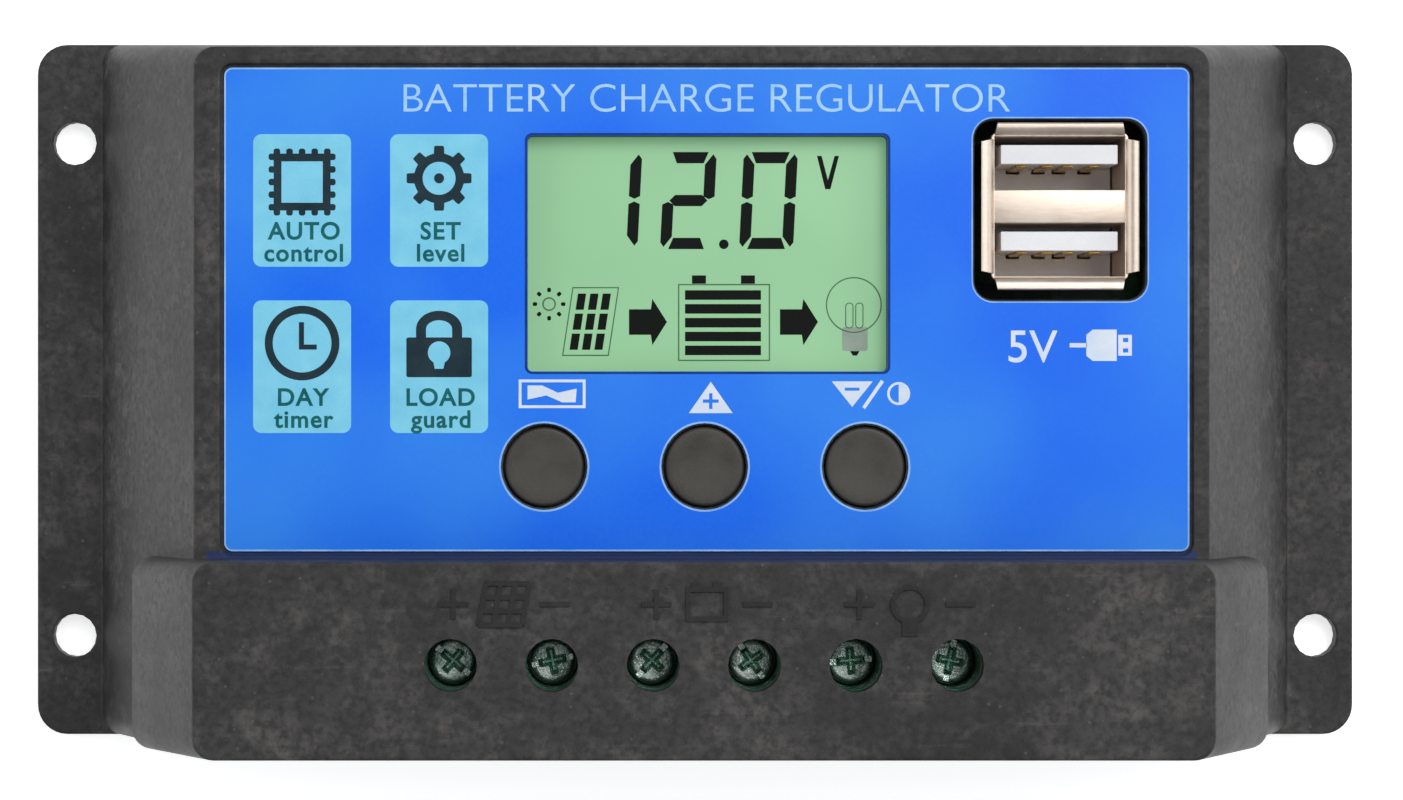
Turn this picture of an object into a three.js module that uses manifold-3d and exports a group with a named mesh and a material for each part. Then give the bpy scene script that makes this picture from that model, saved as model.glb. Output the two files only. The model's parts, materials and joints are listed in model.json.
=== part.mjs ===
// A solar charge controller: a moulded front housing with a side flange at each end, closed by a
// metal back plate. Inside are a circuit board with a display, three push switches, a stacked pair
// of USB sockets and a six-pole terminal block whose screws are reached through wells in the housing.
// Millimetres. The origin is at the centre of the back face, +Z comes out of the front face,
// +X runs along the length and the terminal shroud is at the -Y edge.
import * as THREE from "three";
import { LoftGeometry } from "three/addons/geometries/LoftGeometry.js";
import { mergeVertices } from "three/addons/utils/BufferGeometryUtils.js";
import Module from "manifold-3d";

// Overall sizes
const caseLength = 133.5;
const caseHeight = 70;
const caseDepth = 35;

// Flanges and their fixing holes
const flangeThickness = 2.2;
const flangeReach = 6.55;
const flangeCorner = 3;
const fixingHole = 4.4;
const fixingInsetX = 3.75;
const fixingInsetY = 10;

// Body above the flanges
const deckZ = 27;
const bendZ = 14;
const ledgeZ = 21;
const lowerLean = 5;
const deckLean = 6.7;
const shroudLean = 7.2;
const ledgeLean = 0.1;
const topDraft = 2.4;
const shroudReach = 18.6;
const bodyCorner = 2;
const frontWall = 2.2;
const sideWall = 2.4;

// Back plate and its countersunk screws
const plateThickness = 1.5;
const plateRim = 1.2;
const plateGap = 0.15;
const plateCorner = 1.4;
const plateScrewRadius = 1.5;
const plateScrewHead = 2.8;
const plateScrewSink = 1.3;
const plateScrewLength = 9;
const plateBossRadius = 3.2;
const plateBossTop = 12;
const plateBossInset = 3.5;
const holeGap = 0.1;

// Circuit board and its screws
const boardZ = 7;
const boardThickness = 1.6;
const boardEdgeGap = 1.2;
const boardFrontGap = 0.5;
const boardBossGap = 1.6;
const boardBossRadius = 2.8;
const boardBossInsetX = 3.3;
const boardBossInsetTop = 4.4;
const boardBossAboveStep = 2.8;
const boardScrewRadius = 1.45;
const boardScrewHead = 2.6;
const boardScrewHeadHeight = 1.9;
const boardScrewGrip = 8;

// Printed overlay in its recess
const overlayThickness = 0.3;
const overlaySink = 0.5;
const overlayMargin = 2.35;
const overlayTopMargin = 2;
const overlayStepMargin = 0.75;
const overlayShift = 0.5;
const overlayCorner = 0.8;
const overlayGap = 0.4;
const holeEdgeGap = 0.15;

// Display
const titleStrip = 6.5;
const buttonStrip = 17.2;
const iconStrip = 29;
const socketStrip = 28.85;
const windowCorner = 0.5;
const glassBorder = 2.1;
const glassSheet = 1;
const glassLedge = 1.2;
const glassGap = 0.2;
const backlightThickness = 2.6;
const backlightMargin = 1;
const frameWall = 1.2;
const frameShelf = 2.5;
const frameShelfDepth = 1.5;
const pinPitch = 2.54;
const pinWidth = 0.6;
const pinRowRoom = 2.6;
const pinBarZ = 3.4;
const pinBarHeight = 1.2;

// Buttons and switches
const buttonPitch = 15.35;
const buttonRowX = 0.3;
const buttonRise = 8.1;
const buttonHole = 4;
const buttonGap = 0.2;
const buttonSink = 0.5;
const buttonChamfer = 0.25;
const buttonFlange = 0.9;
const buttonFlangeThickness = 1.2;
const buttonStem = 2;
const buttonTravel = 0.4;
const switchSize = 6;
const switchBody = 3.5;
const switchReach = 9.5;
const plungerRadius = 1.7;
const plungerFlange = 0.5;
const plungerFloor = 1;
const plungerFlangeThickness = 1.2;
const switchLid = 1;
const switchGap = 0.15;

// Stacked USB sockets
const socketFromRight = 12.35;
const socketFromTop = 13.6;
const socketHoleWidth = 16.4;
const socketHoleHeight = 17.2;
const socketHoleCorner = 1.8;
const socketRise = 0.35;
const portWidth = 12.5;
const portHeight = 5.12;
const portPitch = 8.3;
const portDepth = 10.5;
const shellSheet = 0.3;
const lipReach = 1.05;
const lipThickness = 0.6;
const lipCorner = 1.6;
const insulatorGap = 0.15;
const insulatorFoot = 0.9;
const tongueWidth = 11.2;
const tongueThickness = 1.84;
const tongueTopGap = 0.8;
const tongueSink = 1;
const contactOffsets = [-3.5, -1, 1, 3.5];
const contactWidth = 1;
const contactThickness = 0.25;
const contactSink = 1.1;
const contactBar = 0.5;

// Terminals
const poleCount = 6;
const polePitch = 9.5;
const wellInset = 8.9;
const wellHole = 2.5;
const blockFront = 6.2;
const blockBack = 7.2;
const blockTop = 28.5;
const chimneyWall = 0.85;
const chimneyBore = 2.45;
const chimneyGap = 0.3;
const chamberWidth = 7.9;
const chamberBack = 3.6;
const chamberFront = 5.2;
const shelfThickness = 0.9;
const screwHeadRadius = 2.15;
const screwHeadHeight = 2;
const screwTopZ = 27;
const screwRadius = 1.65;
const screwTipGap = 0.2;
const screwRunningGap = 0.15;
const slotWidth = 0.7;
const slotDepth = 0.7;
const crossWidth = 0.8;
const crossReach = 1.35;
const crossDepth = 1.3;
const screwAngles = [-40, 12, 48, -55, 5, 78];
const clampWidth = 7.4;
const clampDepth = 6.8;
const clampFloorZ = 9.5;
const clampFloor = 1;
const clampOpening = 5.6;
const clampMouth = 8;
const clampTop = 2;
const barThickness = 1.2;
const barWidth = 4.6;
const barAboveFloor = 5;
const barFront = 4.6;
const barBack = 5.4;
const barSlotGap = 0.2;
const entryWidth = 6.2;
const entryBelow = 0.2;
const windowWidth = 6.8;
const windowLow = 9.8;
const windowHigh = 16;

// Raised marks on the shroud
const markHeight = 0.25;
const markRoot = 0.1;
const markStroke = 0.45;
const markShift = 0.3;
const markRise = 5.75;
const signSize = 2.8;
const panelWidth = 4.1;
const panelHeight = 3.9;
const panelSlant = 0.7;
const batteryWidth = 4;
const batteryHeight = 3.2;
const batteryPost = 0.9;
const bulbRadius = 1.85;
const bulbBase = 1.5;

// Parts on the board
const transistorCount = 4;
const transistorPitch = 14;
const transistorY = -8;
const transistorWidth = 10;
const transistorLength = 8.6;
const transistorHeight = 4.4;
const transistorTab = 1.3;
const transistorLead = 2.6;
const padMargin = 2.5;
const chipSize = 10;
const chipHeight = 1.5;
const chipLeads = 5;
const chipLeadPitch = 1.8;
const chipLeadReach = 1;
const inductorRadius = 6;
const inductorHeight = 6.5;
const inductorEdge = 1.2;
const inductorWaist = 1.4;
const capacitorRadius = 4;
const capacitorHeadroom = 4.2;
const smallCapacitorRadius = 3.15;
const smallCapacitorHeight = 8;
const capacitorGroove = 0.35;
const capacitorBase = 1.2;
const diodeLength = 7;
const diodeWidth = 5.8;
const diodeHeight = 2.3;
const sidePartsInset = 15.5;
const partGap = 2;

// Facets of round shapes
const holeFacets = 24;
const wellFacets = 20;
const smallFacets = 16;
const hiddenFacets = 12;
const cornerFacets = 4;

const wasm = await Module();
wasm.setup();

// Positions that follow from the sizes above
const caseTop = caseHeight / 2;
const caseBottom = -caseHeight / 2;
const footHalf = caseLength / 2 - flangeReach;
const bendHalf = footHalf - lowerLean;
const deckHalf = bendHalf - deckLean;
const ledgeHalf = bendHalf - ledgeLean;
const shroudHalf = ledgeHalf - shroudLean;
const deckTop = caseTop - topDraft;
const stepY = caseBottom + shroudReach;
const deckUnderside = deckZ - frontWall;
const shroudUnderside = caseDepth - frontWall;
const boardTop = boardZ + boardThickness;
const cavityHalf = footHalf - sideWall;
const cavityTop = caseTop - sideWall;
const cavityBottom = caseBottom + sideWall;
const fixingX = caseLength / 2 - fixingInsetX;
const fixingY = caseTop - fixingInsetY;

const overlayLeft = -deckHalf + overlayMargin + overlayShift;
const overlayRight = deckHalf - overlayMargin + overlayShift;
const overlayTop = deckTop - overlayTopMargin;
const overlayBottom = stepY + overlayStepMargin;
const recessZ = deckZ - overlaySink;

const windowLeft = overlayLeft + iconStrip;
const windowRight = overlayRight - socketStrip;
const windowTop = overlayTop - titleStrip;
const windowBottom = overlayBottom + buttonStrip;
const glassTopZ = deckUnderside - glassGap;
const glassBackZ = glassTopZ - 2 * glassSheet;
const backlightZ = glassBackZ - backlightThickness;
const glassBottom = windowBottom - glassBorder;

const buttonY = overlayBottom + buttonRise;
const buttonXs = [-1, 0, 1].map((step) => buttonRowX + step * buttonPitch);
const socketX = overlayRight - socketFromRight;
const socketY = overlayTop - socketFromTop;

const wellY = caseBottom + wellInset;
const poleXs = Array.from({ length: poleCount }, (_, i) => (i - (poleCount - 1) / 2) * polePitch);
const screwSeatZ = screwTopZ - screwHeadHeight;
const barZ = clampFloorZ + clampFloor + barAboveFloor;
const barTop = barZ + barThickness;

const plateBossX = cavityHalf - plateBossInset;
const plateBossY = cavityTop - plateBossRadius + holeGap;
const boardHalf = plateBossX - plateBossRadius - boardBossGap;
const boardTopEdge = cavityTop - boardEdgeGap;
const boardBottomEdge = cavityBottom + boardFrontGap;
const boardBossX = deckHalf - boardBossInsetX;
const boardBossYs = [deckTop - boardBossInsetTop, stepY + boardBossAboveStep];

// Solids

// The closed surface of a three.js geometry as a solid that can be joined and cut.
function solidOf(geometry) {
  const bare = new THREE.BufferGeometry();
  bare.setAttribute("position", geometry.getAttribute("position"));
  bare.setIndex(geometry.getIndex());
  const merged = mergeVertices(bare);
  return new wasm.Manifold(
    new wasm.Mesh({
      numProp: 3,
      vertProperties: merged.attributes.position.array,
      triVerts: new Uint32Array(merged.index.array),
    }),
  );
}

function joined(solids) {
  return solids.reduce((whole, solid) => whole.add(solid));
}

function cut(solid, tools) {
  return tools.reduce((rest, tool) => rest.subtract(tool), solid);
}

function box([left, right], [front, back], [low, high]) {
  const geometry = new THREE.BoxGeometry(right - left, back - front, high - low);
  geometry.translate((left + right) / 2, (front + back) / 2, (low + high) / 2);
  return solidOf(geometry);
}

// A box of the given sizes about a point in the plane.
function block(x, y, width, height, [low, high]) {
  return box([x - width / 2, x + width / 2], [y - height / 2, y + height / 2], [low, high]);
}

function disc(x, y, radius, [low, high], facets = holeFacets) {
  const geometry = new THREE.CylinderGeometry(radius, radius, high - low, facets);
  geometry.rotateX(Math.PI / 2);
  geometry.translate(x, y, (low + high) / 2);
  return solidOf(geometry);
}

// A solid of revolution about the Z axis; the profile holds [radius, z] pairs from the axis to the axis.
function turned(profile, facets = holeFacets) {
  const points = profile.map(([radius, z]) => new THREE.Vector2(radius, z));
  const geometry = new THREE.LatheGeometry(points, facets);
  geometry.rotateX(Math.PI / 2);
  return solidOf(geometry);
}

function roundedRectangle([left, right], [bottom, top], radius) {
  const shape = new THREE.Shape();
  shape.absarc(right - radius, bottom + radius, radius, -Math.PI / 2, 0);
  shape.absarc(right - radius, top - radius, radius, 0, Math.PI / 2);
  shape.absarc(left + radius, top - radius, radius, Math.PI / 2, Math.PI);
  shape.absarc(left + radius, bottom + radius, radius, Math.PI, 1.5 * Math.PI);
  return shape;
}

function extruded(shape, [low, high]) {
  const geometry = new THREE.ExtrudeGeometry(shape, {
    depth: high - low,
    bevelEnabled: false,
    curveSegments: cornerFacets,
  });
  geometry.translate(0, 0, low);
  return solidOf(geometry);
}

function roundedBlock(xs, ys, radius, zs) {
  return extruded(roundedRectangle(xs, ys, radius), zs);
}

function polygon(points, zs) {
  return extruded(new THREE.Shape(points.map(([x, y]) => new THREE.Vector2(x, y))), zs);
}

// A drafted body through rounded rectangles; each level is { z, half, bottom, top }.
function drafted(levels, corner) {
  const sections = levels.map(({ z, half, bottom, top }) =>
    roundedRectangle([-half, half], [bottom, top], corner)
      .getPoints(cornerFacets)
      .map((point) => new THREE.Vector3(point.x, point.y, z)),
  );
  return solidOf(new LoftGeometry(sections, { capStart: true, capEnd: true }));
}

// Scene graph

const controller = new THREE.Group();

function addPart(parent, name, solid, [color, roughness, metalness]) {
  const { vertProperties, triVerts } = solid.getMesh();
  const geometry = new THREE.BufferGeometry();
  geometry.setAttribute("position", new THREE.BufferAttribute(vertProperties, 3));
  geometry.setIndex(new THREE.BufferAttribute(triVerts, 1));
  geometry.computeVertexNormals();
  const material = new THREE.MeshStandardMaterial({ color, roughness, metalness, flatShading: true });
  const mesh = new THREE.Mesh(geometry, material);
  mesh.name = name;
  parent.add(mesh);
  return mesh;
}

function groupAt(x, y, parent = controller) {
  const group = new THREE.Group();
  group.position.set(x, y, 0);
  parent.add(group);
  return group;
}

// Colour, roughness and metalness of each material
const looks = {
  housing: [0x3f4144, 0.75, 0],
  button: [0x3b3836, 0.6, 0],
  blackPlastic: [0x222325, 0.6, 0],
  overlay: [0x2f78f5, 0.35, 0],
  display: [0x96cb9b, 0.15, 0],
  whitePlastic: [0xe8e8e2, 0.5, 0],
  plate: [0x2b2d30, 0.5, 0.6],
  zinc: [0xc9ccc8, 0.3, 1],
  darkSteel: [0x4a4b4d, 0.4, 1],
  tinned: [0xd8d3c4, 0.25, 1],
  contact: [0xc9a54c, 0.25, 1],
  brass: [0xc2a35a, 0.3, 1],
  terminal: [0x2f6b4a, 0.5, 0],
  board: [0x1f5a35, 0.5, 0],
  epoxy: [0x1b1c1e, 0.55, 0],
  ferrite: [0x34363a, 0.7, 0],
  aluminium: [0xb9bcc0, 0.3, 1],
  pad: [0x8fa3b5, 0.9, 0],
};

// Housing

function topAt(z) {
  return caseTop - (topDraft * (z - flangeThickness)) / (deckZ - flangeThickness);
}

function deckLevels(inset, lowest, highest) {
  const slope = deckLean / (deckZ - bendZ);
  const bottom = caseBottom + inset;
  return [
    { z: lowest, half: footHalf - inset, bottom, top: caseTop - inset },
    { z: flangeThickness, half: footHalf - inset, bottom, top: caseTop - inset },
    { z: bendZ, half: bendHalf - inset, bottom, top: topAt(bendZ) - inset },
    {
      z: highest,
      half: bendHalf - slope * (highest - bendZ) - inset,
      bottom,
      top: topAt(highest) - inset,
    },
  ];
}

function shroudLevels(inset, highest) {
  const slope = shroudLean / (caseDepth - ledgeZ);
  const bottom = caseBottom + inset;
  const top = stepY - inset;
  return [
    { z: bendZ, half: bendHalf - inset, bottom, top },
    { z: ledgeZ, half: ledgeHalf - inset, bottom, top },
    { z: highest, half: ledgeHalf - slope * (highest - ledgeZ) - inset, bottom, top },
  ];
}

function plusMark(x, y, zs) {
  return joined([
    block(x, y, signSize, markStroke, zs),
    block(x, y, markStroke, signSize, zs),
  ]);
}

function minusMark(x, y, zs) {
  return block(x, y, signSize, markStroke, zs);
}

// A slanted panel crossed by two bars each way.
function panelMark(x, y, zs) {
  const slant = (v) => x + (panelSlant * (v - y)) / panelHeight;
  const low = y - panelHeight / 2;
  const high = y + panelHeight / 2;
  const rows = [0, 1, 2, 3].map((i) => low + (i * panelHeight) / 3);
  const columns = [0, 1, 2, 3].map((i) => (i / 3 - 0.5) * panelWidth);
  const bars = rows.map((v) => block(slant(v), v, panelWidth, markStroke, zs));
  const posts = columns.map((u) =>
    polygon(
      [
        [slant(low) + u - markStroke / 2, low],
        [slant(low) + u + markStroke / 2, low],
        [slant(high) + u + markStroke / 2, high],
        [slant(high) + u - markStroke / 2, high],
      ],
      zs,
    ),
  );
  return joined([...bars, ...posts]);
}

function batteryMark(x, y, zs) {
  const inner = 2 * markStroke;
  const outline = block(x, y, batteryWidth, batteryHeight, zs).subtract(
    block(x, y, batteryWidth - inner, batteryHeight - inner, [zs[0] - 1, zs[1] + 1]),
  );
  const postY = y + batteryHeight / 2;
  const posts = [-1, 1].map((side) =>
    block(x + (side * batteryWidth) / 4, postY, batteryPost, 2 * markStroke, zs),
  );
  return joined([outline, ...posts]);
}

function bulbMark(x, y, zs) {
  const ring = disc(x, y, bulbRadius, zs, smallFacets).subtract(
    disc(x, y, bulbRadius - markStroke, [zs[0] - 1, zs[1] + 1], smallFacets),
  );
  const base = block(x, y - bulbRadius - bulbBase / 4, bulbBase, bulbBase, zs);
  return ring.add(base);
}

function shroudMarks() {
  const zs = [caseDepth - markRoot, caseDepth + markHeight];
  const y = wellY + markRise;
  const pictures = [panelMark, batteryMark, bulbMark];
  const marks = pictures.map((picture, pair) => {
    const plusX = poleXs[2 * pair] + markShift;
    const minusX = poleXs[2 * pair + 1] + markShift;
    return [plusMark(plusX, y, zs), picture((plusX + minusX) / 2, y, zs), minusMark(minusX, y, zs)];
  });
  return marks.flat();
}

function fourCorners(x, ys) {
  return [-1, 1].flatMap((side) => ys.map((y) => [side * x, y]));
}

const plateBosses = fourCorners(plateBossX, [-plateBossY, plateBossY]);
const boardBosses = fourCorners(boardBossX, boardBossYs);

function frontHousing() {
  const below = -1;
  const above = caseDepth + 1;
  const outside = drafted(deckLevels(0, 0, deckZ), bodyCorner).add(
    drafted(shroudLevels(0, caseDepth), bodyCorner),
  );
  const flange = roundedBlock(
    [-caseLength / 2, caseLength / 2],
    [caseBottom, caseTop],
    flangeCorner,
    [0, flangeThickness],
  );
  const cavity = drafted(deckLevels(sideWall, below, deckUnderside), bodyCorner).add(
    drafted(shroudLevels(sideWall, shroudUnderside), bodyCorner),
  );
  const bosses = [
    ...plateBosses.map(([x, y]) =>
      disc(x, y, plateBossRadius, [plateThickness, plateBossTop], hiddenFacets),
    ),
    ...boardBosses.map(([x, y]) => disc(x, y, boardBossRadius, [boardTop, deckZ], hiddenFacets)),
  ];
  const shell = outside.add(flange).subtract(cut(cavity, bosses));

  const recess = roundedBlock(
    [overlayLeft - overlayGap, overlayRight + overlayGap],
    [overlayBottom - overlayGap, overlayTop + overlayGap],
    overlayCorner + overlayGap,
    [recessZ, above],
  );
  const plateSeat = roundedBlock(
    [-footHalf + plateRim, footHalf - plateRim],
    [caseBottom + plateRim, caseTop - plateRim],
    plateCorner + plateGap,
    [below, plateThickness],
  );
  const fixings = fourCorners(fixingX, [-fixingY, fixingY]).map(([x, y]) =>
    disc(x, y, fixingHole / 2, [below, flangeThickness + 1], smallFacets),
  );
  const pilots = [
    ...plateBosses.map(([x, y]) =>
      disc(x, y, plateScrewRadius + holeGap, [below, plateScrewLength + 1], hiddenFacets),
    ),
    ...boardBosses.map(([x, y]) =>
      disc(x, y, boardScrewRadius + holeGap, [boardZ, boardTop + boardScrewGrip + 1], hiddenFacets),
    ),
  ];
  const wells = poleXs.map((x) => disc(x, wellY, wellHole, [shroudUnderside - 1, above], wellFacets));
  const entries = poleXs.map((x) =>
    box(
      [x - windowWidth / 2, x + windowWidth / 2],
      [caseBottom - 1, cavityBottom + 1],
      [windowLow, windowHigh],
    ),
  );
  const whole = cut(shell, [
    recess,
    plateSeat,
    displayWindow([deckUnderside - 1, above]),
    socketWindow([deckUnderside - 1, above]),
    ...buttonXs.map((x) => disc(x, buttonY, buttonHole, [deckUnderside - 1, above])),
    ...fixings,
    ...pilots,
    ...wells,
    ...entries,
  ]);
  return joined([whole, ...shroudMarks()]);
}

function displayWindow(zs) {
  return roundedBlock([windowLeft, windowRight], [windowBottom, windowTop], windowCorner, zs);
}

function socketWindow(zs, gap = 0) {
  const halfWidth = socketHoleWidth / 2 + gap;
  const halfHeight = socketHoleHeight / 2 + gap;
  return roundedBlock(
    [socketX - halfWidth, socketX + halfWidth],
    [socketY - halfHeight, socketY + halfHeight],
    socketHoleCorner + gap,
    zs,
  );
}

function faceOverlay() {
  const zs = [recessZ, recessZ + overlayThickness];
  const through = [recessZ - 1, deckZ + 1];
  const sheet = roundedBlock([overlayLeft, overlayRight], [overlayBottom, overlayTop], overlayCorner, zs);
  return cut(sheet, [
    displayWindow(through),
    socketWindow(through, holeEdgeGap),
    ...buttonXs.map((x) => disc(x, buttonY, buttonHole + holeEdgeGap, through)),
  ]);
}

// Back plate and screws

// A countersunk head at the bottom of a straight shank.
function sunkScrewProfile(gap, length) {
  return [
    [0, 0],
    [plateScrewHead + gap, 0],
    [plateScrewRadius + gap, plateScrewSink],
    [plateScrewRadius + gap, length],
    [0, length],
  ];
}

// A cross-shaped recess of two slots.
function crossRecess(width, reach, zs) {
  return block(0, 0, 2 * reach, width, zs).add(block(0, 0, width, 2 * reach, zs));
}

function backPlate() {
  const plate = roundedBlock(
    [-footHalf + plateRim + plateGap, footHalf - plateRim - plateGap],
    [caseBottom + plateRim + plateGap, caseTop - plateRim - plateGap],
    plateCorner,
    [0, plateThickness],
  );
  const sink = turned(sunkScrewProfile(holeGap, plateThickness + 1), hiddenFacets);
  return cut(
    plate,
    plateBosses.map(([x, y]) => sink.translate([x, y, 0])),
  );
}

function plateScrew() {
  return turned(sunkScrewProfile(0, plateScrewLength), hiddenFacets).subtract(
    crossRecess(crossWidth, crossReach, [-1, plateScrewSink]),
  );
}

function boardScrew() {
  const headZ = boardZ - boardScrewHeadHeight;
  const profile = [
    [0, headZ],
    [boardScrewHead - boardScrewHeadHeight / 4, headZ],
    [boardScrewHead, headZ + boardScrewHeadHeight / 3],
    [boardScrewHead, boardZ],
    [boardScrewRadius, boardZ],
    [boardScrewRadius, boardTop + boardScrewGrip],
    [0, boardTop + boardScrewGrip],
  ];
  return turned(profile, hiddenFacets).subtract(
    crossRecess(crossWidth, crossReach, [headZ - 1, headZ + crossDepth]),
  );
}

// Circuit board

function circuitBoard() {
  const board = roundedBlock(
    [-boardHalf, boardHalf],
    [boardBottomEdge, boardTopEdge],
    plateCorner,
    [boardZ, boardTop],
  );
  return cut(
    board,
    boardBosses.map(([x, y]) =>
      disc(x, y, boardScrewRadius + holeGap, [boardZ - 1, boardTop + 1], hiddenFacets),
    ),
  );
}

// Display

function displayGlass() {
  const xs = [windowLeft - glassBorder, windowRight + glassBorder];
  const top = windowTop + glassBorder;
  const back = box(xs, [glassBottom, top], [glassBackZ, glassBackZ + glassSheet]);
  const front = box(xs, [glassBottom + glassLedge, top], [glassBackZ + glassSheet, glassTopZ]);
  return back.add(front);
}

function displayBacklight() {
  const xs = [windowLeft - backlightMargin, windowRight + backlightMargin];
  const ys = [glassBottom + pinRowRoom, windowTop + backlightMargin];
  const slab = box(xs, ys, [backlightZ, glassBackZ]);
  const lampTab = block(
    (windowLeft + windowRight) / 2,
    ys[0] + backlightMargin,
    chipSize,
    2 * backlightMargin,
    [backlightZ - frameShelfDepth, backlightZ],
  );
  return slab.add(lampTab);
}

function displayFrame() {
  const inner = {
    xs: [windowLeft - glassBorder - glassGap, windowRight + glassBorder + glassGap],
    ys: [glassBottom - glassGap, windowTop + glassBorder + glassGap],
  };
  const grown = ([low, high]) => [low - frameWall, high + frameWall];
  const tube = box(grown(inner.xs), grown(inner.ys), [boardTop, glassTopZ]).subtract(
    box(inner.xs, inner.ys, [boardTop - 1, glassTopZ + 1]),
  );
  const shelfZs = [backlightZ - frameShelfDepth, backlightZ];
  const [left, right] = inner.xs;
  const shelves = [
    box([left - frameWall, left + frameShelf], grown(inner.ys), shelfZs),
    box([right - frameShelf, right + frameWall], grown(inner.ys), shelfZs),
  ];
  return joined([tube, ...shelves]);
}

function displayPins() {
  const centre = (windowLeft + windowRight) / 2;
  const half = (windowRight - windowLeft) / 2 - pinPitch;
  const steps = Math.floor(half / pinPitch);
  const y = glassBottom + glassLedge / 2 + glassGap;
  const pins = Array.from({ length: 2 * steps + 1 }, (_, i) =>
    block(centre + (i - steps) * pinPitch, y, pinWidth, pinWidth / 2, [boardTop, glassBackZ]),
  );
  const barZs = [boardTop + pinBarZ, boardTop + pinBarZ + pinBarHeight];
  const bar = block(centre, y, 2 * steps * pinPitch + pinPitch, glassLedge, barZs);
  return joined([bar, ...pins]);
}

// Buttons and switches

function pushButton() {
  const top = deckZ - buttonSink;
  const capRadius = buttonHole - buttonGap;
  const flangeTop = deckUnderside - buttonGap;
  return turned([
    [0, boardTop + switchReach],
    [buttonStem, boardTop + switchReach],
    [buttonStem, flangeTop - buttonFlangeThickness],
    [buttonHole + buttonFlange, flangeTop - buttonFlangeThickness],
    [buttonHole + buttonFlange, flangeTop],
    [capRadius, flangeTop],
    [capRadius, top - buttonChamfer],
    [capRadius - buttonChamfer, top],
    [0, top],
  ]);
}

function switchPlunger() {
  const floor = boardTop + plungerFloor;
  return turned(
    [
      [0, floor],
      [plungerRadius + plungerFlange, floor],
      [plungerRadius + plungerFlange, floor + plungerFlangeThickness],
      [plungerRadius, floor + plungerFlangeThickness],
      [plungerRadius, boardTop + switchReach],
      [0, boardTop + switchReach],
    ],
    hiddenFacets,
  );
}

function switchBase() {
  const lidZ = boardTop + switchBody - switchLid;
  const floor = boardTop + plungerFloor - buttonTravel - holeGap;
  const base = block(0, 0, switchSize, switchSize, [boardTop, boardTop + switchBody]);
  return cut(base, [
    disc(0, 0, plungerRadius + plungerFlange + switchGap, [floor, lidZ], hiddenFacets),
    disc(0, 0, plungerRadius + switchGap, [lidZ - 1, boardTop + switchBody + 1], hiddenFacets),
  ]);
}

// Stacked USB sockets, about the axis of the pair

const portYs = [-portPitch / 2, portPitch / 2];
const shellHalfX = portWidth / 2 + shellSheet;
const shellHalfY = portPitch / 2 + portHeight / 2 + shellSheet;
const portFloorZ = deckZ - portDepth;
const tongueY = portHeight / 2 - tongueTopGap - tongueThickness / 2;
const tongueUnderside = tongueY - tongueThickness / 2;

// The flared mouth: a plate with its four corners cut off.
function mouthLip(zs) {
  const x = shellHalfX + lipReach;
  const y = shellHalfY + lipReach;
  const corners = [
    [x - lipCorner, -y],
    [x, -y + lipCorner],
    [x, y - lipCorner],
    [x - lipCorner, y],
    [-x + lipCorner, y],
    [-x, y - lipCorner],
    [-x, -y + lipCorner],
    [-x + lipCorner, -y],
  ];
  return polygon(corners, zs);
}

function socketShell() {
  const can = block(0, 0, 2 * shellHalfX, 2 * shellHalfY, [boardTop, deckZ]);
  const ports = portYs.map((y) => block(0, y, portWidth, portHeight, [portFloorZ - 1, deckZ + 1]));
  const inside = block(0, 0, portWidth, 2 * (shellHalfY - shellSheet), [boardTop - 1, portFloorZ]);
  return cut(can.add(mouthLip([deckZ - lipThickness, deckZ])), [inside, ...ports]);
}

function socketInsulator() {
  const width = portWidth - 2 * insulatorGap;
  const height = 2 * (shellHalfY - shellSheet - insulatorGap);
  const base = block(0, 0, width, height, [boardTop + insulatorFoot, portFloorZ - insulatorGap]);
  const tongues = portYs.map((y) =>
    block(0, y + tongueY, tongueWidth, tongueThickness, [
      portFloorZ - 2 * insulatorGap,
      deckZ - tongueSink,
    ]),
  );
  const slots = portYs.flatMap((y) =>
    contactOffsets.map((x) =>
      box(
        [x - contactWidth / 2 - insulatorGap, x + contactWidth / 2 + insulatorGap],
        [y + tongueUnderside - contactThickness - insulatorGap, y + tongueUnderside],
        [boardTop, portFloorZ],
      ),
    ),
  );
  return cut(joined([base, ...tongues]), slots);
}

// Four strips along the underside of one tongue, joined by a foot on the board.
function socketContacts(y) {
  const ys = [y + tongueUnderside - contactThickness, y + tongueUnderside];
  const last = contactOffsets.length - 1;
  const foot = box(
    [contactOffsets[0] - contactWidth / 2, contactOffsets[last] + contactWidth / 2],
    ys,
    [boardTop, boardTop + contactBar],
  );
  const strips = contactOffsets.map((x) =>
    box([x - contactWidth / 2, x + contactWidth / 2], ys, [boardTop, deckZ - tongueSink - contactSink]),
  );
  return joined([foot, ...strips]);
}

// Terminals; each pole is built about the axis of its screw

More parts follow.
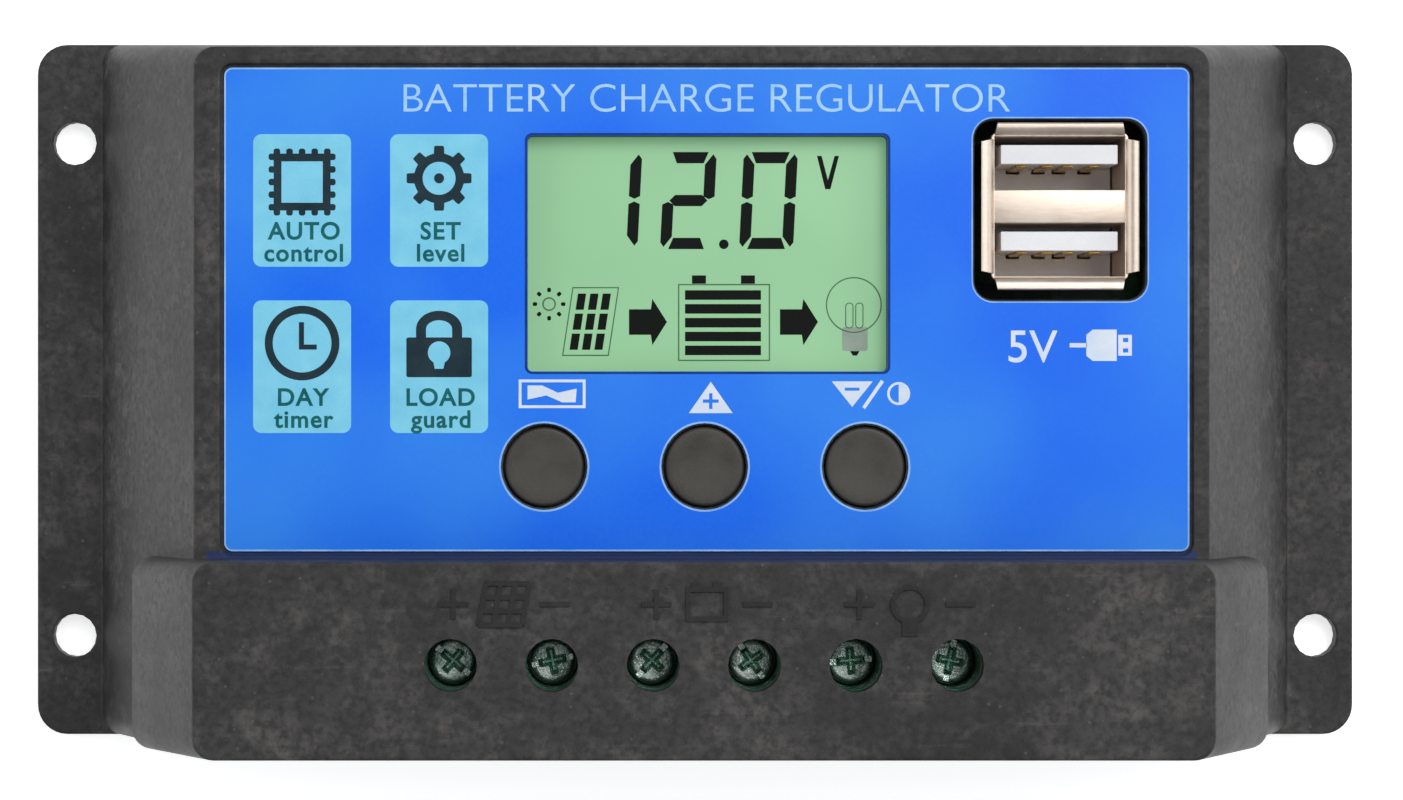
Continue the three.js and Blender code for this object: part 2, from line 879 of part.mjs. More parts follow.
function terminalBlock() {
  const half = (poleCount * polePitch) / 2;
  const body = box([-half, half], [-blockFront, blockBack], [boardTop, blockTop]);
  const chimneyZs = [blockTop - 1, shroudUnderside - chimneyGap];
  const chimneys = poleXs.map((x) => disc(x, 0, chimneyBore + chimneyWall, chimneyZs, hiddenFacets));
  const entryHigh = barZ - entryBelow + barThickness;
  const tools = poleXs.flatMap((x) => [
    box(
      [x - chamberWidth / 2, x + chamberWidth / 2],
      [-chamberFront, chamberBack],
      [boardTop - 1, screwSeatZ - shelfThickness],
    ),
    disc(x, 0, screwRadius + screwRunningGap, [screwSeatZ - shelfThickness - 1, screwSeatZ + 1], hiddenFacets),
    disc(x, 0, chimneyBore, [screwSeatZ, caseDepth], wellFacets),
    box(
      [x - entryWidth / 2, x + entryWidth / 2],
      [-blockFront - 1, -chamberFront + 1],
      [clampFloorZ + clampFloor - entryBelow, entryHigh],
    ),
    box(
      [x - barWidth / 2 - barSlotGap, x + barWidth / 2 + barSlotGap],
      [chamberBack - 1, barBack + barSlotGap],
      [boardTop - 1, barTop + barSlotGap],
    ),
  ]);
  return cut(joined([body, ...chimneys]), tools);
}

function terminalScrew() {
  const screw = turned(
    [
      [0, barTop + screwTipGap],
      [screwRadius - screwTipGap, barTop + screwTipGap],
      [screwRadius, barTop + 2 * screwTipGap],
      [screwRadius, screwSeatZ],
      [screwHeadRadius, screwSeatZ],
      [screwHeadRadius, screwTopZ - screwTipGap],
      [screwHeadRadius - screwTipGap, screwTopZ],
      [0, screwTopZ],
    ],
    smallFacets,
  );
  const slot = block(0, 0, 2 * screwHeadRadius + 1, slotWidth, [screwTopZ - slotDepth, screwTopZ + 1]);
  return cut(screw, [slot, crossRecess(crossWidth, crossReach, [screwTopZ - crossDepth, screwTopZ + 1])]);
}

function terminalClamp() {
  const mouthZ = clampFloorZ + clampFloor;
  const topZ = mouthZ + clampMouth + clampTop;
  const cage = block(0, 0, clampWidth, clampDepth, [clampFloorZ, topZ]);
  return cut(cage, [
    block(0, 0, clampOpening, clampDepth + 2, [mouthZ, mouthZ + clampMouth]),
    disc(0, 0, screwRadius + screwRunningGap, [mouthZ + clampMouth - 1, topZ + 1], hiddenFacets),
  ]);
}

function terminalBusbar() {
  const xs = [-barWidth / 2, barWidth / 2];
  return box(xs, [-barFront, barBack], [barZ, barTop]).add(
    box(xs, [barBack - barThickness, barBack], [boardTop, barTop]),
  );
}

// Parts on the board

function transistor() {
  const body = block(0, 0, transistorWidth, transistorLength, [boardZ - transistorHeight, boardZ]);
  const tab = block(0, transistorLength / 2, transistorWidth, 2 * transistorTab, [
    boardZ - transistorTab,
    boardZ,
  ]);
  const leads = [-1, 0, 1].map((side) =>
    block(
      (side * transistorWidth) / 4,
      -(transistorLength + transistorLead) / 2,
      transistorTab / 2 + pinWidth,
      transistorLead + 2,
      [boardZ - pinWidth, boardZ],
    ),
  );
  return joined([body, tab, ...leads]);
}

function thermalPad() {
  const width = (transistorCount - 1) * transistorPitch + transistorWidth + padMargin;
  const zs = [plateThickness, boardZ - transistorHeight];
  return block(0, transistorY, width, transistorLength + padMargin, zs);
}

function chip() {
  const body = block(0, 0, chipSize, chipSize, [boardTop + pinWidth / 4, boardTop + chipHeight]);
  const reach = chipSize + 2 * chipLeadReach;
  const leads = Array.from({ length: chipLeads }, (_, i) => {
    const place = (i - (chipLeads - 1) / 2) * chipLeadPitch;
    const zs = [boardTop, boardTop + chipHeight / 2];
    return block(place, 0, pinWidth, reach, zs);
  });
  return joined([body, ...leads]);
}

// A ferrite drum whose waist carries the winding.
function inductor() {
  const top = boardTop + inductorHeight;
  return turned(
    [
      [0, boardTop],
      [inductorRadius, boardTop],
      [inductorRadius, boardTop + inductorEdge],
      [inductorRadius - inductorWaist / 2, boardTop + inductorWaist],
      [inductorRadius - inductorWaist / 2, top - inductorWaist],
      [inductorRadius, top - inductorEdge],
      [inductorRadius, top],
      [0, top],
    ],
    smallFacets,
  );
}

// A can with a square foot, crimped above its base.
function capacitor(radius, height) {
  const can = turned(
    [
      [0, boardTop],
      [radius, boardTop],
      [radius, boardTop + 2 * capacitorBase],
      [radius - capacitorGroove, boardTop + 2.5 * capacitorBase],
      [radius, boardTop + 3 * capacitorBase],
      [radius, boardTop + height - capacitorGroove],
      [radius - capacitorGroove, boardTop + height],
      [0, boardTop + height],
    ],
    smallFacets,
  );
  const foot = block(0, 0, 2 * radius, 2 * radius, [boardTop, boardTop + capacitorBase]);
  return can.add(foot);
}

function diode() {
  const body = block(0, 0, diodeLength, diodeWidth, [boardTop + pinWidth / 2, boardTop + diodeHeight]);
  const ends = block(0, 0, diodeLength + diodeHeight / 2, diodeWidth / 2, [
    boardTop,
    boardTop + diodeHeight / 2,
  ]);
  return body.add(ends);
}

// Assembly

function addEach(base, solid, look, places) {
  places.forEach(([x, y, turn = 0], i) => {
    const mesh = addPart(groupAt(x, y), base + (i + 1), solid, look);
    mesh.rotation.z = THREE.MathUtils.degToRad(turn);
  });
}

addPart(controller, "front_housing", frontHousing(), looks.housing);
addPart(controller, "back_plate", backPlate(), looks.plate);
addEach("back_plate_screw_", plateScrew(), looks.darkSteel, plateBosses);
addPart(controller, "face_overlay", faceOverlay(), looks.overlay);

addPart(controller, "circuit_board", circuitBoard(), looks.board);
addEach("board_screw_", boardScrew(), looks.darkSteel, boardBosses);

addPart(controller, "lcd_glass", displayGlass(), looks.display);
addPart(controller, "lcd_backlight", displayBacklight(), looks.whitePlastic);
addPart(controller, "lcd_frame", displayFrame(), looks.blackPlastic);
addPart(controller, "lcd_pin_row", displayPins(), looks.tinned);

const buttonPlaces = buttonXs.map((x) => [x, buttonY]);
addEach("button_", pushButton(), looks.button, buttonPlaces);
addEach("switch_plunger_", switchPlunger(), looks.button, buttonPlaces);
addEach("switch_base_", switchBase(), looks.blackPlastic, buttonPlaces);

const sockets = groupAt(socketX, socketY + socketRise);
addPart(sockets, "usb_shell", socketShell(), looks.tinned);
addPart(sockets, "usb_insulator", socketInsulator(), looks.whitePlastic);
addPart(sockets, "usb_contacts_upper", socketContacts(portYs[1]), looks.contact);
addPart(sockets, "usb_contacts_lower", socketContacts(portYs[0]), looks.contact);

const polePlaces = poleXs.map((x) => [x, wellY]);
addPart(groupAt(0, wellY), "terminal_block", terminalBlock(), looks.terminal);
addEach("terminal_screw_", terminalScrew(), looks.zinc, poleXs.map((x, i) => [x, wellY, screwAngles[i]]));
addEach("terminal_clamp_", terminalClamp(), looks.zinc, polePlaces);
addEach("terminal_busbar_", terminalBusbar(), looks.brass, polePlaces);

const transistorPlaces = Array.from({ length: transistorCount }, (_, i) => [
  (i - (transistorCount - 1) / 2) * transistorPitch,
  transistorY,
]);
addEach("mosfet_", transistor(), looks.epoxy, transistorPlaces);
addPart(controller, "thermal_pad", thermalPad(), looks.pad);

const displayCentre = [(windowLeft + windowRight) / 2, (windowBottom + windowTop) / 2];
const sidePartsX = boardHalf - sidePartsInset;
const capacitorY = socketY + partGap;
const inductorY = capacitorY - capacitorRadius - inductorRadius - partGap;
const diodeY = inductorY - inductorRadius - diodeWidth / 2 - partGap;
const smallCapacitorY = socketY - shellHalfY - lipReach - smallCapacitorRadius - partGap;
addPart(groupAt(...displayCentre), "mcu_chip", chip(), looks.epoxy);
addPart(
  groupAt(-sidePartsX, capacitorY),
  "input_capacitor",
  capacitor(capacitorRadius, deckUnderside - boardTop - capacitorHeadroom),
  looks.aluminium,
);
addPart(groupAt(-sidePartsX, inductorY), "buck_inductor", inductor(), looks.ferrite);
addPart(groupAt(-sidePartsX, diodeY), "schottky_diode", diode(), looks.epoxy);
addPart(
  groupAt(sidePartsX, smallCapacitorY),
  "usb_capacitor",
  capacitor(smallCapacitorRadius, smallCapacitorHeight),
  looks.aluminium,
);

export default controller;
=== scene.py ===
import json
import math

import bmesh
import bpy
from mathutils import Matrix, Vector


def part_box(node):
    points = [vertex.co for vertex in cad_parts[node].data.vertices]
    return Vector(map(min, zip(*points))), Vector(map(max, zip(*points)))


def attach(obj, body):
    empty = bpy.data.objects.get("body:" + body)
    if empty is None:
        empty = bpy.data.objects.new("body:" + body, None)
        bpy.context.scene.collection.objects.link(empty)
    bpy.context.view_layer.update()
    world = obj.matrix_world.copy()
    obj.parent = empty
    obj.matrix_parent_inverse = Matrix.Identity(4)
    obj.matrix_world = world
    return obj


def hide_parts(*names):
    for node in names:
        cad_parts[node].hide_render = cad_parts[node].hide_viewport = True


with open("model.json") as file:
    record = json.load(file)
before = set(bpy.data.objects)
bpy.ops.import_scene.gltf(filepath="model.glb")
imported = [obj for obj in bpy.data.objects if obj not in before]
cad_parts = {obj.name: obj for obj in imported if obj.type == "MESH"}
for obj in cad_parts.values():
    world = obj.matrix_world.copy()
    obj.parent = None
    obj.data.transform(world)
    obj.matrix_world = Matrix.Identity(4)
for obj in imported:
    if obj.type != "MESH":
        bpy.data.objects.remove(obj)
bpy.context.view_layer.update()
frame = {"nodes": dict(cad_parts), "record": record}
mm = 0.001


# Places, read from the CAD nodes, in millimetres

def span(name):
    low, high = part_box(name)
    return low / mm, high / mm


def centreOf(name):
    low, high = span(name)
    return (low + high) / 2


overlayLow, overlayHigh = span("face_overlay")
glassLow, glassHigh = span("lcd_glass")
shellLow, shellHigh = span("usb_shell")
caseLow, caseHigh = span("front_housing")
socketCentre = centreOf("usb_shell")
buttonCount = 3
deckHeight = 27.0
deckEdge = 48.5
stepEdge = -16.4
socketRise = 0.35  # of the sockets above the middle of their window
glassBorder = 2.1  # how far the display glass runs on behind the housing
displayLeft, displayRight = glassLow.x + glassBorder, glassHigh.x - glassBorder
displayTop, displayBottom = glassHigh.y - glassBorder, glassLow.y + glassBorder
buttonPlaces = [tuple(centreOf(f"button_{i}"))[:2] for i in range(1, buttonCount + 1)]


# Camera, light and floor

camera = {
    "place": (-10.7, -3.0, 422.0),
    "lens": 106.04,
    "shiftX": 0.0797,
    "shiftY": 0.01354,
}
studio = {
    "worldColour": (0.93, 0.96, 1.0),
    "worldStrength": 0.36,
    "lamps": [  # name, place, size and power
        ("topLamp", (0.2, 0.3, 0.72), 0.45, 2.85),
        ("rightLamp", (0.68, 0.08, 0.36), 0.5, 1.0),
        ("leftLamp", (-0.68, 0.05, 0.36), 0.5, 1.15),
    ],
    "floorSize": 3.0,  # metres
    "floorGlow": 0.68,
    "floorDrop": 0.3,  # millimetres below the back of the case
}


def placed(name, data):
    made = bpy.data.objects.new(name, data)
    bpy.context.scene.collection.objects.link(made)
    return made


def makeCamera():
    data = bpy.data.cameras.new("camera")
    data.lens = camera["lens"]
    data.shift_x = camera["shiftX"]
    data.shift_y = camera["shiftY"]
    data.clip_start = 0.01
    data.clip_end = 20
    made = placed("camera", data)
    made.location = Vector(camera["place"]) * mm
    bpy.context.scene.camera = made


def makeLamps():
    for name, place, size, power in studio["lamps"]:
        data = bpy.data.lights.new(name, "AREA")
        data.size = size
        data.energy = power
        lamp = placed(name, data)
        lamp.location = place
        lamp.rotation_euler = (-Vector(place)).to_track_quat("-Z", "Y").to_euler()
    world = bpy.data.worlds.new("studio")
    world.use_nodes = True
    background = world.node_tree.nodes["Background"]
    background.inputs["Color"].default_value = (*studio["worldColour"], 1)
    background.inputs["Strength"].default_value = studio["worldStrength"]
    bpy.context.scene.world = world
    bpy.context.scene.view_settings.view_transform = "Standard"


makeCamera()
makeLamps()


# Material tools

def colour(red, green, blue):
    # a screen colour, 0 to 255, as the linear colour of a shader
    def linear(value):
        value /= 255
        return value / 12.92 if value <= 0.04045 else ((value + 0.055) / 1.055) ** 2.4
    return (linear(red), linear(green), linear(blue), 1)


def add(tree, kind, inputs=None, **settings):
    made = tree.nodes.new("ShaderNode" + kind)
    for key, value in settings.items():
        setattr(made, key, value)
    for key, value in (inputs or {}).items():
        if isinstance(value, bpy.types.NodeSocket):
            tree.links.new(value, made.inputs[key])
        else:
            made.inputs[key].default_value = value
    return made


def startMaterial(name, **sockets):
    made = bpy.data.materials.new(name)
    made.use_nodes = True
    tree = made.node_tree
    shader = tree.nodes["Principled BSDF"]
    for key, value in sockets.items():
        shader.inputs[key.replace("_", " ")].default_value = value
    return made, tree, shader


def millimetres(tree, stretch=(1, 1, 1)):
    place = add(tree, "TexCoord").outputs["Object"]
    scale = [value / mm for value in stretch]
    return add(tree, "Mapping", {"Vector": place, "Scale": scale}).outputs["Vector"]


def noise(tree, place, size, detail=3, roughness=0.5):
    # soft noise whose blotches are about size millimetres across
    made = add(tree, "TexNoise", {
        "Vector": place, "Scale": 1 / size, "Detail": detail, "Roughness": roughness,
    })
    return made.outputs["Fac"]


def ramp(tree, value, low, high, start=0.0, end=1.0):
    made = add(tree, "MapRange", {
        "Value": value, "From Min": low, "From Max": high, "To Min": start, "To Max": end,
    })
    return made.outputs["Result"]


def mix(tree, amount, first, second, blend="MIX"):
    made = add(tree, "Mix", data_type="RGBA", blend_type=blend)
    for key, value in ((0, amount), (6, first), (7, second)):
        if isinstance(value, bpy.types.NodeSocket):
            tree.links.new(value, made.inputs[key])
        else:
            made.inputs[key].default_value = value
    return made.outputs[2]


def maths(tree, operation, first, second=0.0):
    made = add(tree, "Math", operation=operation)
    for i, value in enumerate((first, second)):
        if isinstance(value, bpy.types.NodeSocket):
            tree.links.new(value, made.inputs[i])
        else:
            made.inputs[i].default_value = value
    return made.outputs[0]


def plus(tree, first, second):
    return maths(tree, "ADD", first, second)


def times(tree, first, second):
    return maths(tree, "MULTIPLY", first, second)


def bump(tree, shader, height, depth, normal=None):
    # depth is the height of the relief in millimetres
    made = add(tree, "Bump", {"Height": height, "Distance": depth * mm})
    if normal:
        tree.links.new(normal, made.inputs["Normal"])
    tree.links.new(made.outputs["Normal"], shader.inputs["Normal"])


def cover(tree, shader, base, roughness):
    tree.links.new(base, shader.inputs["Base Color"])
    tree.links.new(roughness, shader.inputs["Roughness"])


# A plain finish that most small parts share: two screen colours, a roughness range and a fine grain
def plainFinish(name, dark, light, roughness, blotch=6.0, grain=0.25, relief=0.01, **sockets):
    made, tree, shader = startMaterial(name, **sockets)
    place = millimetres(tree)
    cloud = noise(tree, place, blotch, 4)
    fine = noise(tree, place, grain, 2)
    amount = ramp(tree, plus(tree, cloud, times(tree, fine, 0.35)), 0.45, 0.9)
    base = mix(tree, amount, colour(*dark), colour(*light))
    cover(tree, shader, base, ramp(tree, cloud, 0.3, 0.7, *roughness))
    bump(tree, shader, fine, relief)
    return made


# Housing

housingFinish = {
    "dark": colour(38, 37, 37),
    "light": colour(66, 64, 63),
    "dust": colour(108, 104, 101),
    "edge": colour(100, 97, 95),
    "mark": colour(16, 15, 15),
    "deep": colour(26, 25, 25),
    "paintedGrooveShadow": colour(10, 42, 98),  # painted shadow with a painted blue reflection of the overlay, on the strip of deck between the overlay and the shroud
    "cloudSize": 22,  # millimetres
    "patchSize": 3.0,
    "smallSize": 0.8,
    "grainSize": 0.22,
    "streakSize": 1.1,
    "dustAmount": 0.85,
    "deepAmount": 0.7,
    "speckAmount": 0.4,
    "streakAmount": 0.22,
    "wearAmount": 0.35,
    "markAmount": 0.75,
    "paintedGrooveShadowAmount": 0.9,
    "relief": 0.03,
    "edgeRadius": 0.55,
    "fineRadius": 0.04,
}
edgeZones = {  # where the wide radius begins and where it is full
    "side": (deckEdge - 3.0, deckEdge - 2.4),
    "step": (stepEdge - 1.4, stepEdge - 0.9),
    "shroudFoot": (caseLow.y + 1.6, caseLow.y + 1.1),
    "shroudTop": (deckHeight + 7.6, deckHeight + 7.4),
}
grooveShadowZones = {  # where the painted blue shadow strip begins and where it is full
    "side": (deckEdge - 1.0, deckEdge - 1.4),
    "overlay": (overlayLow.y + 0.05, overlayLow.y - 0.02),
    "step": (stepEdge - 0.02, stepEdge + 0.02),
    "deck": (deckHeight + 0.5, deckHeight + 0.3),
}
markZone = (caseHigh.z - 0.2, caseHigh.z - 0.1)


def largest(tree, *values):
    made = values[0]
    for value in values[1:]:
        made = maths(tree, "MAXIMUM", made, value)
    return made


def edgeRadius(tree, across, along, height):
    # wide on the outer edges, fine around the marks and wells of the shroud's top
    near = largest(
        tree,
        ramp(tree, maths(tree, "ABSOLUTE", across), *edgeZones["side"]),
        ramp(tree, along, *edgeZones["step"]),
        ramp(tree, along, *edgeZones["shroudFoot"]),
        ramp(tree, height, *edgeZones["shroudTop"]),
    )
    return ramp(tree, near, 0, 1, housingFinish["fineRadius"] * mm, housingFinish["edgeRadius"] * mm)


# mask of the painted shadow and painted blue reflection on the deck strip below the overlay
def grooveShadowMask(tree, across, along, height):
    amount = ramp(tree, maths(tree, "ABSOLUTE", across), *grooveShadowZones["side"])
    for value, zone in ((along, "overlay"), (along, "step"), (height, "deck")):
        amount = times(tree, amount, ramp(tree, value, *grooveShadowZones[zone]))
    return amount


def mouldedHousing():
    look = housingFinish
    made, tree, shader = startMaterial("mouldedHousing", Specular_IOR_Level=0.42)
    place = millimetres(tree)
    axes = add(tree, "SeparateXYZ", {"Vector": place}).outputs
    cloud = noise(tree, place, look["cloudSize"], 5, 0.6)
    patches = noise(tree, place, look["patchSize"], 5, 0.66)
    grain = noise(tree, place, look["grainSize"], 2)
    base = mix(tree, ramp(tree, cloud, 0.35, 0.65), look["dark"], look["light"])

    # dust in soft patches, dark pores, a few specks and short streaks
    dusty = times(tree, ramp(tree, patches, 0.46, 0.74), ramp(tree, cloud, 0.35, 0.7, 0.35, 0.95))
    base = mix(tree, times(tree, dusty, look["dustAmount"]), base, look["dust"])
    small = noise(tree, place, look["smallSize"], 4, 0.66)
    base = mix(tree, ramp(tree, small, 0.36, 0.58, look["deepAmount"], 0), base, look["deep"])
    specks = add(tree, "TexVoronoi", {"Vector": place, "Scale": 0.55, "Randomness": 1.0})
    speck = times(tree, ramp(tree, specks.outputs["Distance"], 0.1, 0.05), look["speckAmount"])
    base = mix(tree, speck, base, look["dust"])
    streaks = noise(tree, millimetres(tree, (0.08, 1.6, 1.6)), look["streakSize"], 2, 0.4)
    streak = times(tree, ramp(tree, streaks, 0.66, 0.74), ramp(tree, patches, 0.45, 0.6))
    base = mix(tree, times(tree, streak, look["streakAmount"]), base, look["dust"])

    # rounded edges that are worn lighter, the raised marks, and the painted shadow with blue reflection on
    # the deck strip
    radius = edgeRadius(tree, axes["X"], axes["Y"], axes["Z"])
    rounded = add(tree, "Bevel", {"Radius": radius}, samples=6).outputs["Normal"]
    flat = add(tree, "NewGeometry").outputs["True Normal"]
    turn = add(tree, "VectorMath", {0: rounded, 1: flat}, operation="DOT_PRODUCT").outputs["Value"]
    wear = times(tree, ramp(tree, turn, 0.995, 0.8), ramp(tree, patches, 0.35, 0.6, 0.3, 1))
    base = mix(tree, times(tree, wear, look["wearAmount"]), base, look["edge"])
    raised = ramp(tree, axes["Z"], *markZone)
    base = mix(tree, times(tree, raised, look["markAmount"]), base, look["mark"])
    paintedGrooveShadow = grooveShadowMask(tree, axes["X"], axes["Y"], axes["Z"])
    base = mix(tree, times(tree, paintedGrooveShadow, look["paintedGrooveShadowAmount"]), base, look["paintedGrooveShadow"])

    mottle = plus(tree, patches, times(tree, grain, 0.3))
    cover(tree, shader, base, ramp(tree, mottle, 0.4, 0.9, 0.48, 0.72))
    relief = plus(tree, times(tree, grain, 0.6), times(tree, streak, -0.3))
    bump(tree, shader, relief, look["relief"], rounded)
    return made


# Overlay, inks and display

overlayFinish = {
    "deep": colour(0, 112, 254),
    "light": colour(46, 142, 254),
    "paleEdge": colour(160, 205, 255),
    "paleAmount": 0.012,
    "broadSize": 26,  # millimetres
    "grainSize": 0.35,
    "roughness": (0.34, 0.46),
    "relief": 0.006,
}


def printedOverlay():
    look = overlayFinish
    made, tree, shader = startMaterial("printedOverlay", Specular_IOR_Level=0.28)
    place = millimetres(tree)
    broad = noise(tree, place, look["broadSize"], 2, 0.4)
    fine = noise(tree, place, look["grainSize"], 2)
    blue = mix(tree, ramp(tree, broad, 0.36, 0.64), look["deep"], look["light"])
    blue = mix(tree, ramp(tree, fine, 0.45, 0.6, 0, look["paleAmount"]), blue, look["paleEdge"])
    cover(tree, shader, blue, ramp(tree, broad, 0.3, 0.7, *look["roughness"]))
    bump(tree, shader, fine, look["relief"])
    return made


def ink(name, dark, light, roughness=(0.4, 0.5)):
    return plainFinish(
        name, dark, light, roughness, blotch=3.0, grain=0.2, relief=0.004, Specular_IOR_Level=0.12,
    )


displayFinish = {
    "dark": colour(138, 184, 140),
    "light": colour(148, 194, 150),
    # painted shadow of the window's edge, darkening the glass towards its top
    "paintedShadow": colour(92, 146, 102),
    "paintedShadowAmount": 0.16,  # of the painted shadow: full at the top edge; none at the low edge
    "glow": colour(140, 206, 148),
    "glowStrength": 0.3,
    "broadSize": 18,  # millimetres
    "grainSize": 0.3,
    "roughness": (0.28, 0.36),
    "relief": 0.002,
}


def displayGlass():
    look = displayFinish
    made, tree, shader = startMaterial(
        "displayGlass", Specular_IOR_Level=0.5, Coat_Weight=0.6, Coat_Roughness=0.06,
        Emission_Color=look["glow"], Emission_Strength=look["glowStrength"],
    )
    place = millimetres(tree)
    broad = noise(tree, place, look["broadSize"], 2)
    fine = noise(tree, place, look["grainSize"], 2)
    green = mix(tree, ramp(tree, broad, 0.35, 0.65), look["dark"], look["light"])
    # painted shadow: the glass darkens towards its top edge
    height = add(tree, "SeparateXYZ", {"Vector": place}).outputs["Y"]
    paintedShadow = ramp(tree, height, glassLow.y, glassHigh.y, 0.0, look["paintedShadowAmount"])
    green = mix(tree, paintedShadow, green, look["paintedShadow"])
    cover(tree, shader, green, ramp(tree, fine, 0.3, 0.7, *look["roughness"]))
    bump(tree, shader, fine, look["relief"])
    return made


# Metals and the board

def metalFinish(name, dark, light, roughness, brushed=(1, 1, 1), blotch=3.0, relief=0.008):
    made, tree, shader = startMaterial(name, Metallic=1.0)
    place = millimetres(tree, brushed)
    cloud = noise(tree, millimetres(tree), blotch, 4, 0.6)
    brush = noise(tree, place, 0.3, 3)
    amount = ramp(tree, plus(tree, cloud, times(tree, brush, 0.5)), 0.5, 1.0)
    base = mix(tree, amount, colour(*dark), colour(*light))
    rough = plus(tree, ramp(tree, cloud, 0.3, 0.7, *roughness), times(tree, brush, 0.08))
    cover(tree, shader, base, rough)
    bump(tree, shader, brush, relief)
    return made


maskFinish = {
    "mask": colour(22, 84, 48),
    "trace": colour(46, 118, 70),
    "stain": colour(14, 62, 38),
    "stainAmount": 0.3,
    "stainSize": 9,  # millimetres
    "traceEdge": (0.05, 0.09),
    "traceDepth": 0.03,
}


def solderMask():
    look = maskFinish
    made, tree, shader = startMaterial("solderMask", Coat_Weight=0.4, Coat_Roughness=0.2)
    place = millimetres(tree)
    traces = add(tree, "TexVoronoi", {"Vector": place, "Scale": 0.22}, feature="DISTANCE_TO_EDGE")
    line = ramp(tree, traces.outputs["Distance"], *look["traceEdge"])
    cloud = noise(tree, place, look["stainSize"], 3)
    base = mix(tree, line, look["trace"], look["mask"])
    base = mix(tree, ramp(tree, cloud, 0.4, 0.7, 0, look["stainAmount"]), base, look["stain"])
    cover(tree, shader, base, ramp(tree, cloud, 0.3, 0.7, 0.35, 0.5))
    bump(tree, shader, line, -look["traceDepth"])
    return made


finishes = {  # one for each material slot of the CAD
    "housing": mouldedHousing(),
    "overlay": printedOverlay(),
    "plate": plainFinish(
        "coatedPlate", (36, 37, 40), (52, 53, 57), (0.42, 0.6),
        blotch=12, grain=0.18, relief=0.015, Metallic=0.35,
    ),
    "board": solderMask(),
    "display": displayGlass(),
    "white_plastic": plainFinish("whitePlastic", (236, 236, 240), (250, 250, 252), (0.35, 0.5)),
    "black_plastic": plainFinish("blackPlastic", (24, 24, 26), (38, 38, 41), (0.45, 0.6)),
    "button": plainFinish(
        "buttonPlastic", (50, 48, 42), (72, 69, 61), (0.42, 0.58), blotch=2.6, grain=0.16, relief=0.012,
    ),
    "tinned": metalFinish(
        "tinnedSheet", (212, 194, 178), (234, 220, 206), (0.34, 0.46), brushed=(0.2, 1, 1), blotch=5.0,
    ),
    "contact": metalFinish("goldContact", (196, 150, 70), (235, 196, 110), (0.2, 0.3)),
    "terminal": plainFinish(
        "greenMoulding", (22, 84, 60), (52, 122, 90), (0.35, 0.5),
        blotch=3.0, grain=0.2, relief=0.01, Coat_Weight=0.3,
    ),
    "pad": plainFinish(
        "siliconePad", (128, 144, 162), (156, 170, 186), (0.75, 0.9), blotch=4, grain=0.3, relief=0.03,
    ),
    "epoxy": plainFinish(
        "epoxyPackage", (20, 20, 22), (34, 34, 37), (0.5, 0.68), blotch=4, grain=0.14, relief=0.015,
    ),
    "ferrite": plainFinish(
        "ferriteDrum", (38, 39, 43), (58, 59, 64), (0.6, 0.8), blotch=2, grain=0.2, relief=0.02,
    ),
    "aluminium": metalFinish(
        "aluminiumCan", (170, 173, 178), (214, 216, 220), (0.28, 0.42), brushed=(1, 1, 0.15),
    ),
    "dark_steel": metalFinish("blackenedSteel", (46, 46, 49), (78, 78, 82), (0.34, 0.5)),
    "zinc": metalFinish(
        "zincPlate", (186, 204, 192), (240, 248, 240), (0.16, 0.3), blotch=1.2, relief=0.015,
    ),
    "brass": metalFinish("tinnedBrass", (176, 150, 92), (214, 190, 132), (0.28, 0.42)),
}
print("materials made:", len(finishes))


# CAD nodes that stay: rounded edges, smooth shading and their finish

rounding = {  # millimetres
    "front_housing": 0,  # its finish rounds them
    "back_plate": 0,
    "back_plate_screw": 0,
    "circuit_board": 0.1,
    "terminal_block": 0.12,
    "lcd_glass": 0.1,
    "face_overlay": 0.04,
}
smallRounding = 0.08
weldDistance = 0.002
sharpAngle = math.radians(32)
flatAngle = math.radians(0.6)


def sharpEdges(mesh):
    # each edge that turns by more than the sharp angle
    def key(index):
        return tuple(round(value / mm, 3) for value in mesh.vertices[index].co)
    sides = {}
    for polygon in mesh.polygons:
        for first, second in polygon.edge_keys:
            sides.setdefault(frozenset((key(first), key(second))), []).append(polygon.normal)
    limit = math.cos(sharpAngle)
    for edge in mesh.edges:
        normals = sides.get(frozenset(key(index) for index in edge.vertices), [])
        if any(a.dot(b) < limit for a in normals for b in normals):
            yield edge


def softenNode(name, made):
    mesh = made.data
    for polygon in mesh.polygons:
        polygon.use_smooth = True
    width = rounding.get(name.rstrip("_0123456789"), smallRounding)
    weights = mesh.attributes.new("bevel_weight_edge", "FLOAT", "EDGE")
    for edge in sharpEdges(mesh):
        weights.data[edge.index].value = 1
        edge.use_edge_sharp = width == 0
    weld = made.modifiers.new("weld", "WELD")
    weld.merge_threshold = weldDistance * mm
    if width:
        flatten = made.modifiers.new("flatten", "DECIMATE")
        flatten.decimate_type = "DISSOLVE"
        flatten.angle_limit = flatAngle
        bevel = made.modifiers.new("edges", "BEVEL")
        bevel.limit_method = "WEIGHT"
        bevel.width = width * mm
        bevel.segments = 3
        bevel.use_clamp_overlap = False
        bevel.face_strength_mode = "FSTR_ALL"
    normals = made.modifiers.new("normals", "WEIGHTED_NORMAL")
    normals.keep_sharp = True
    normals.use_face_influence = True


def dressNodes():
    slots = {row["node"]: row["material_slot"] for row in frame["record"]["subparts"]}
    for name, made in frame["nodes"].items():
        made.data.materials.clear()
        made.data.materials.append(finishes[slots[name]])
        softenNode(name, made)


dressNodes()
print("CAD nodes dressed:", len(frame["nodes"]))


# Piece tools

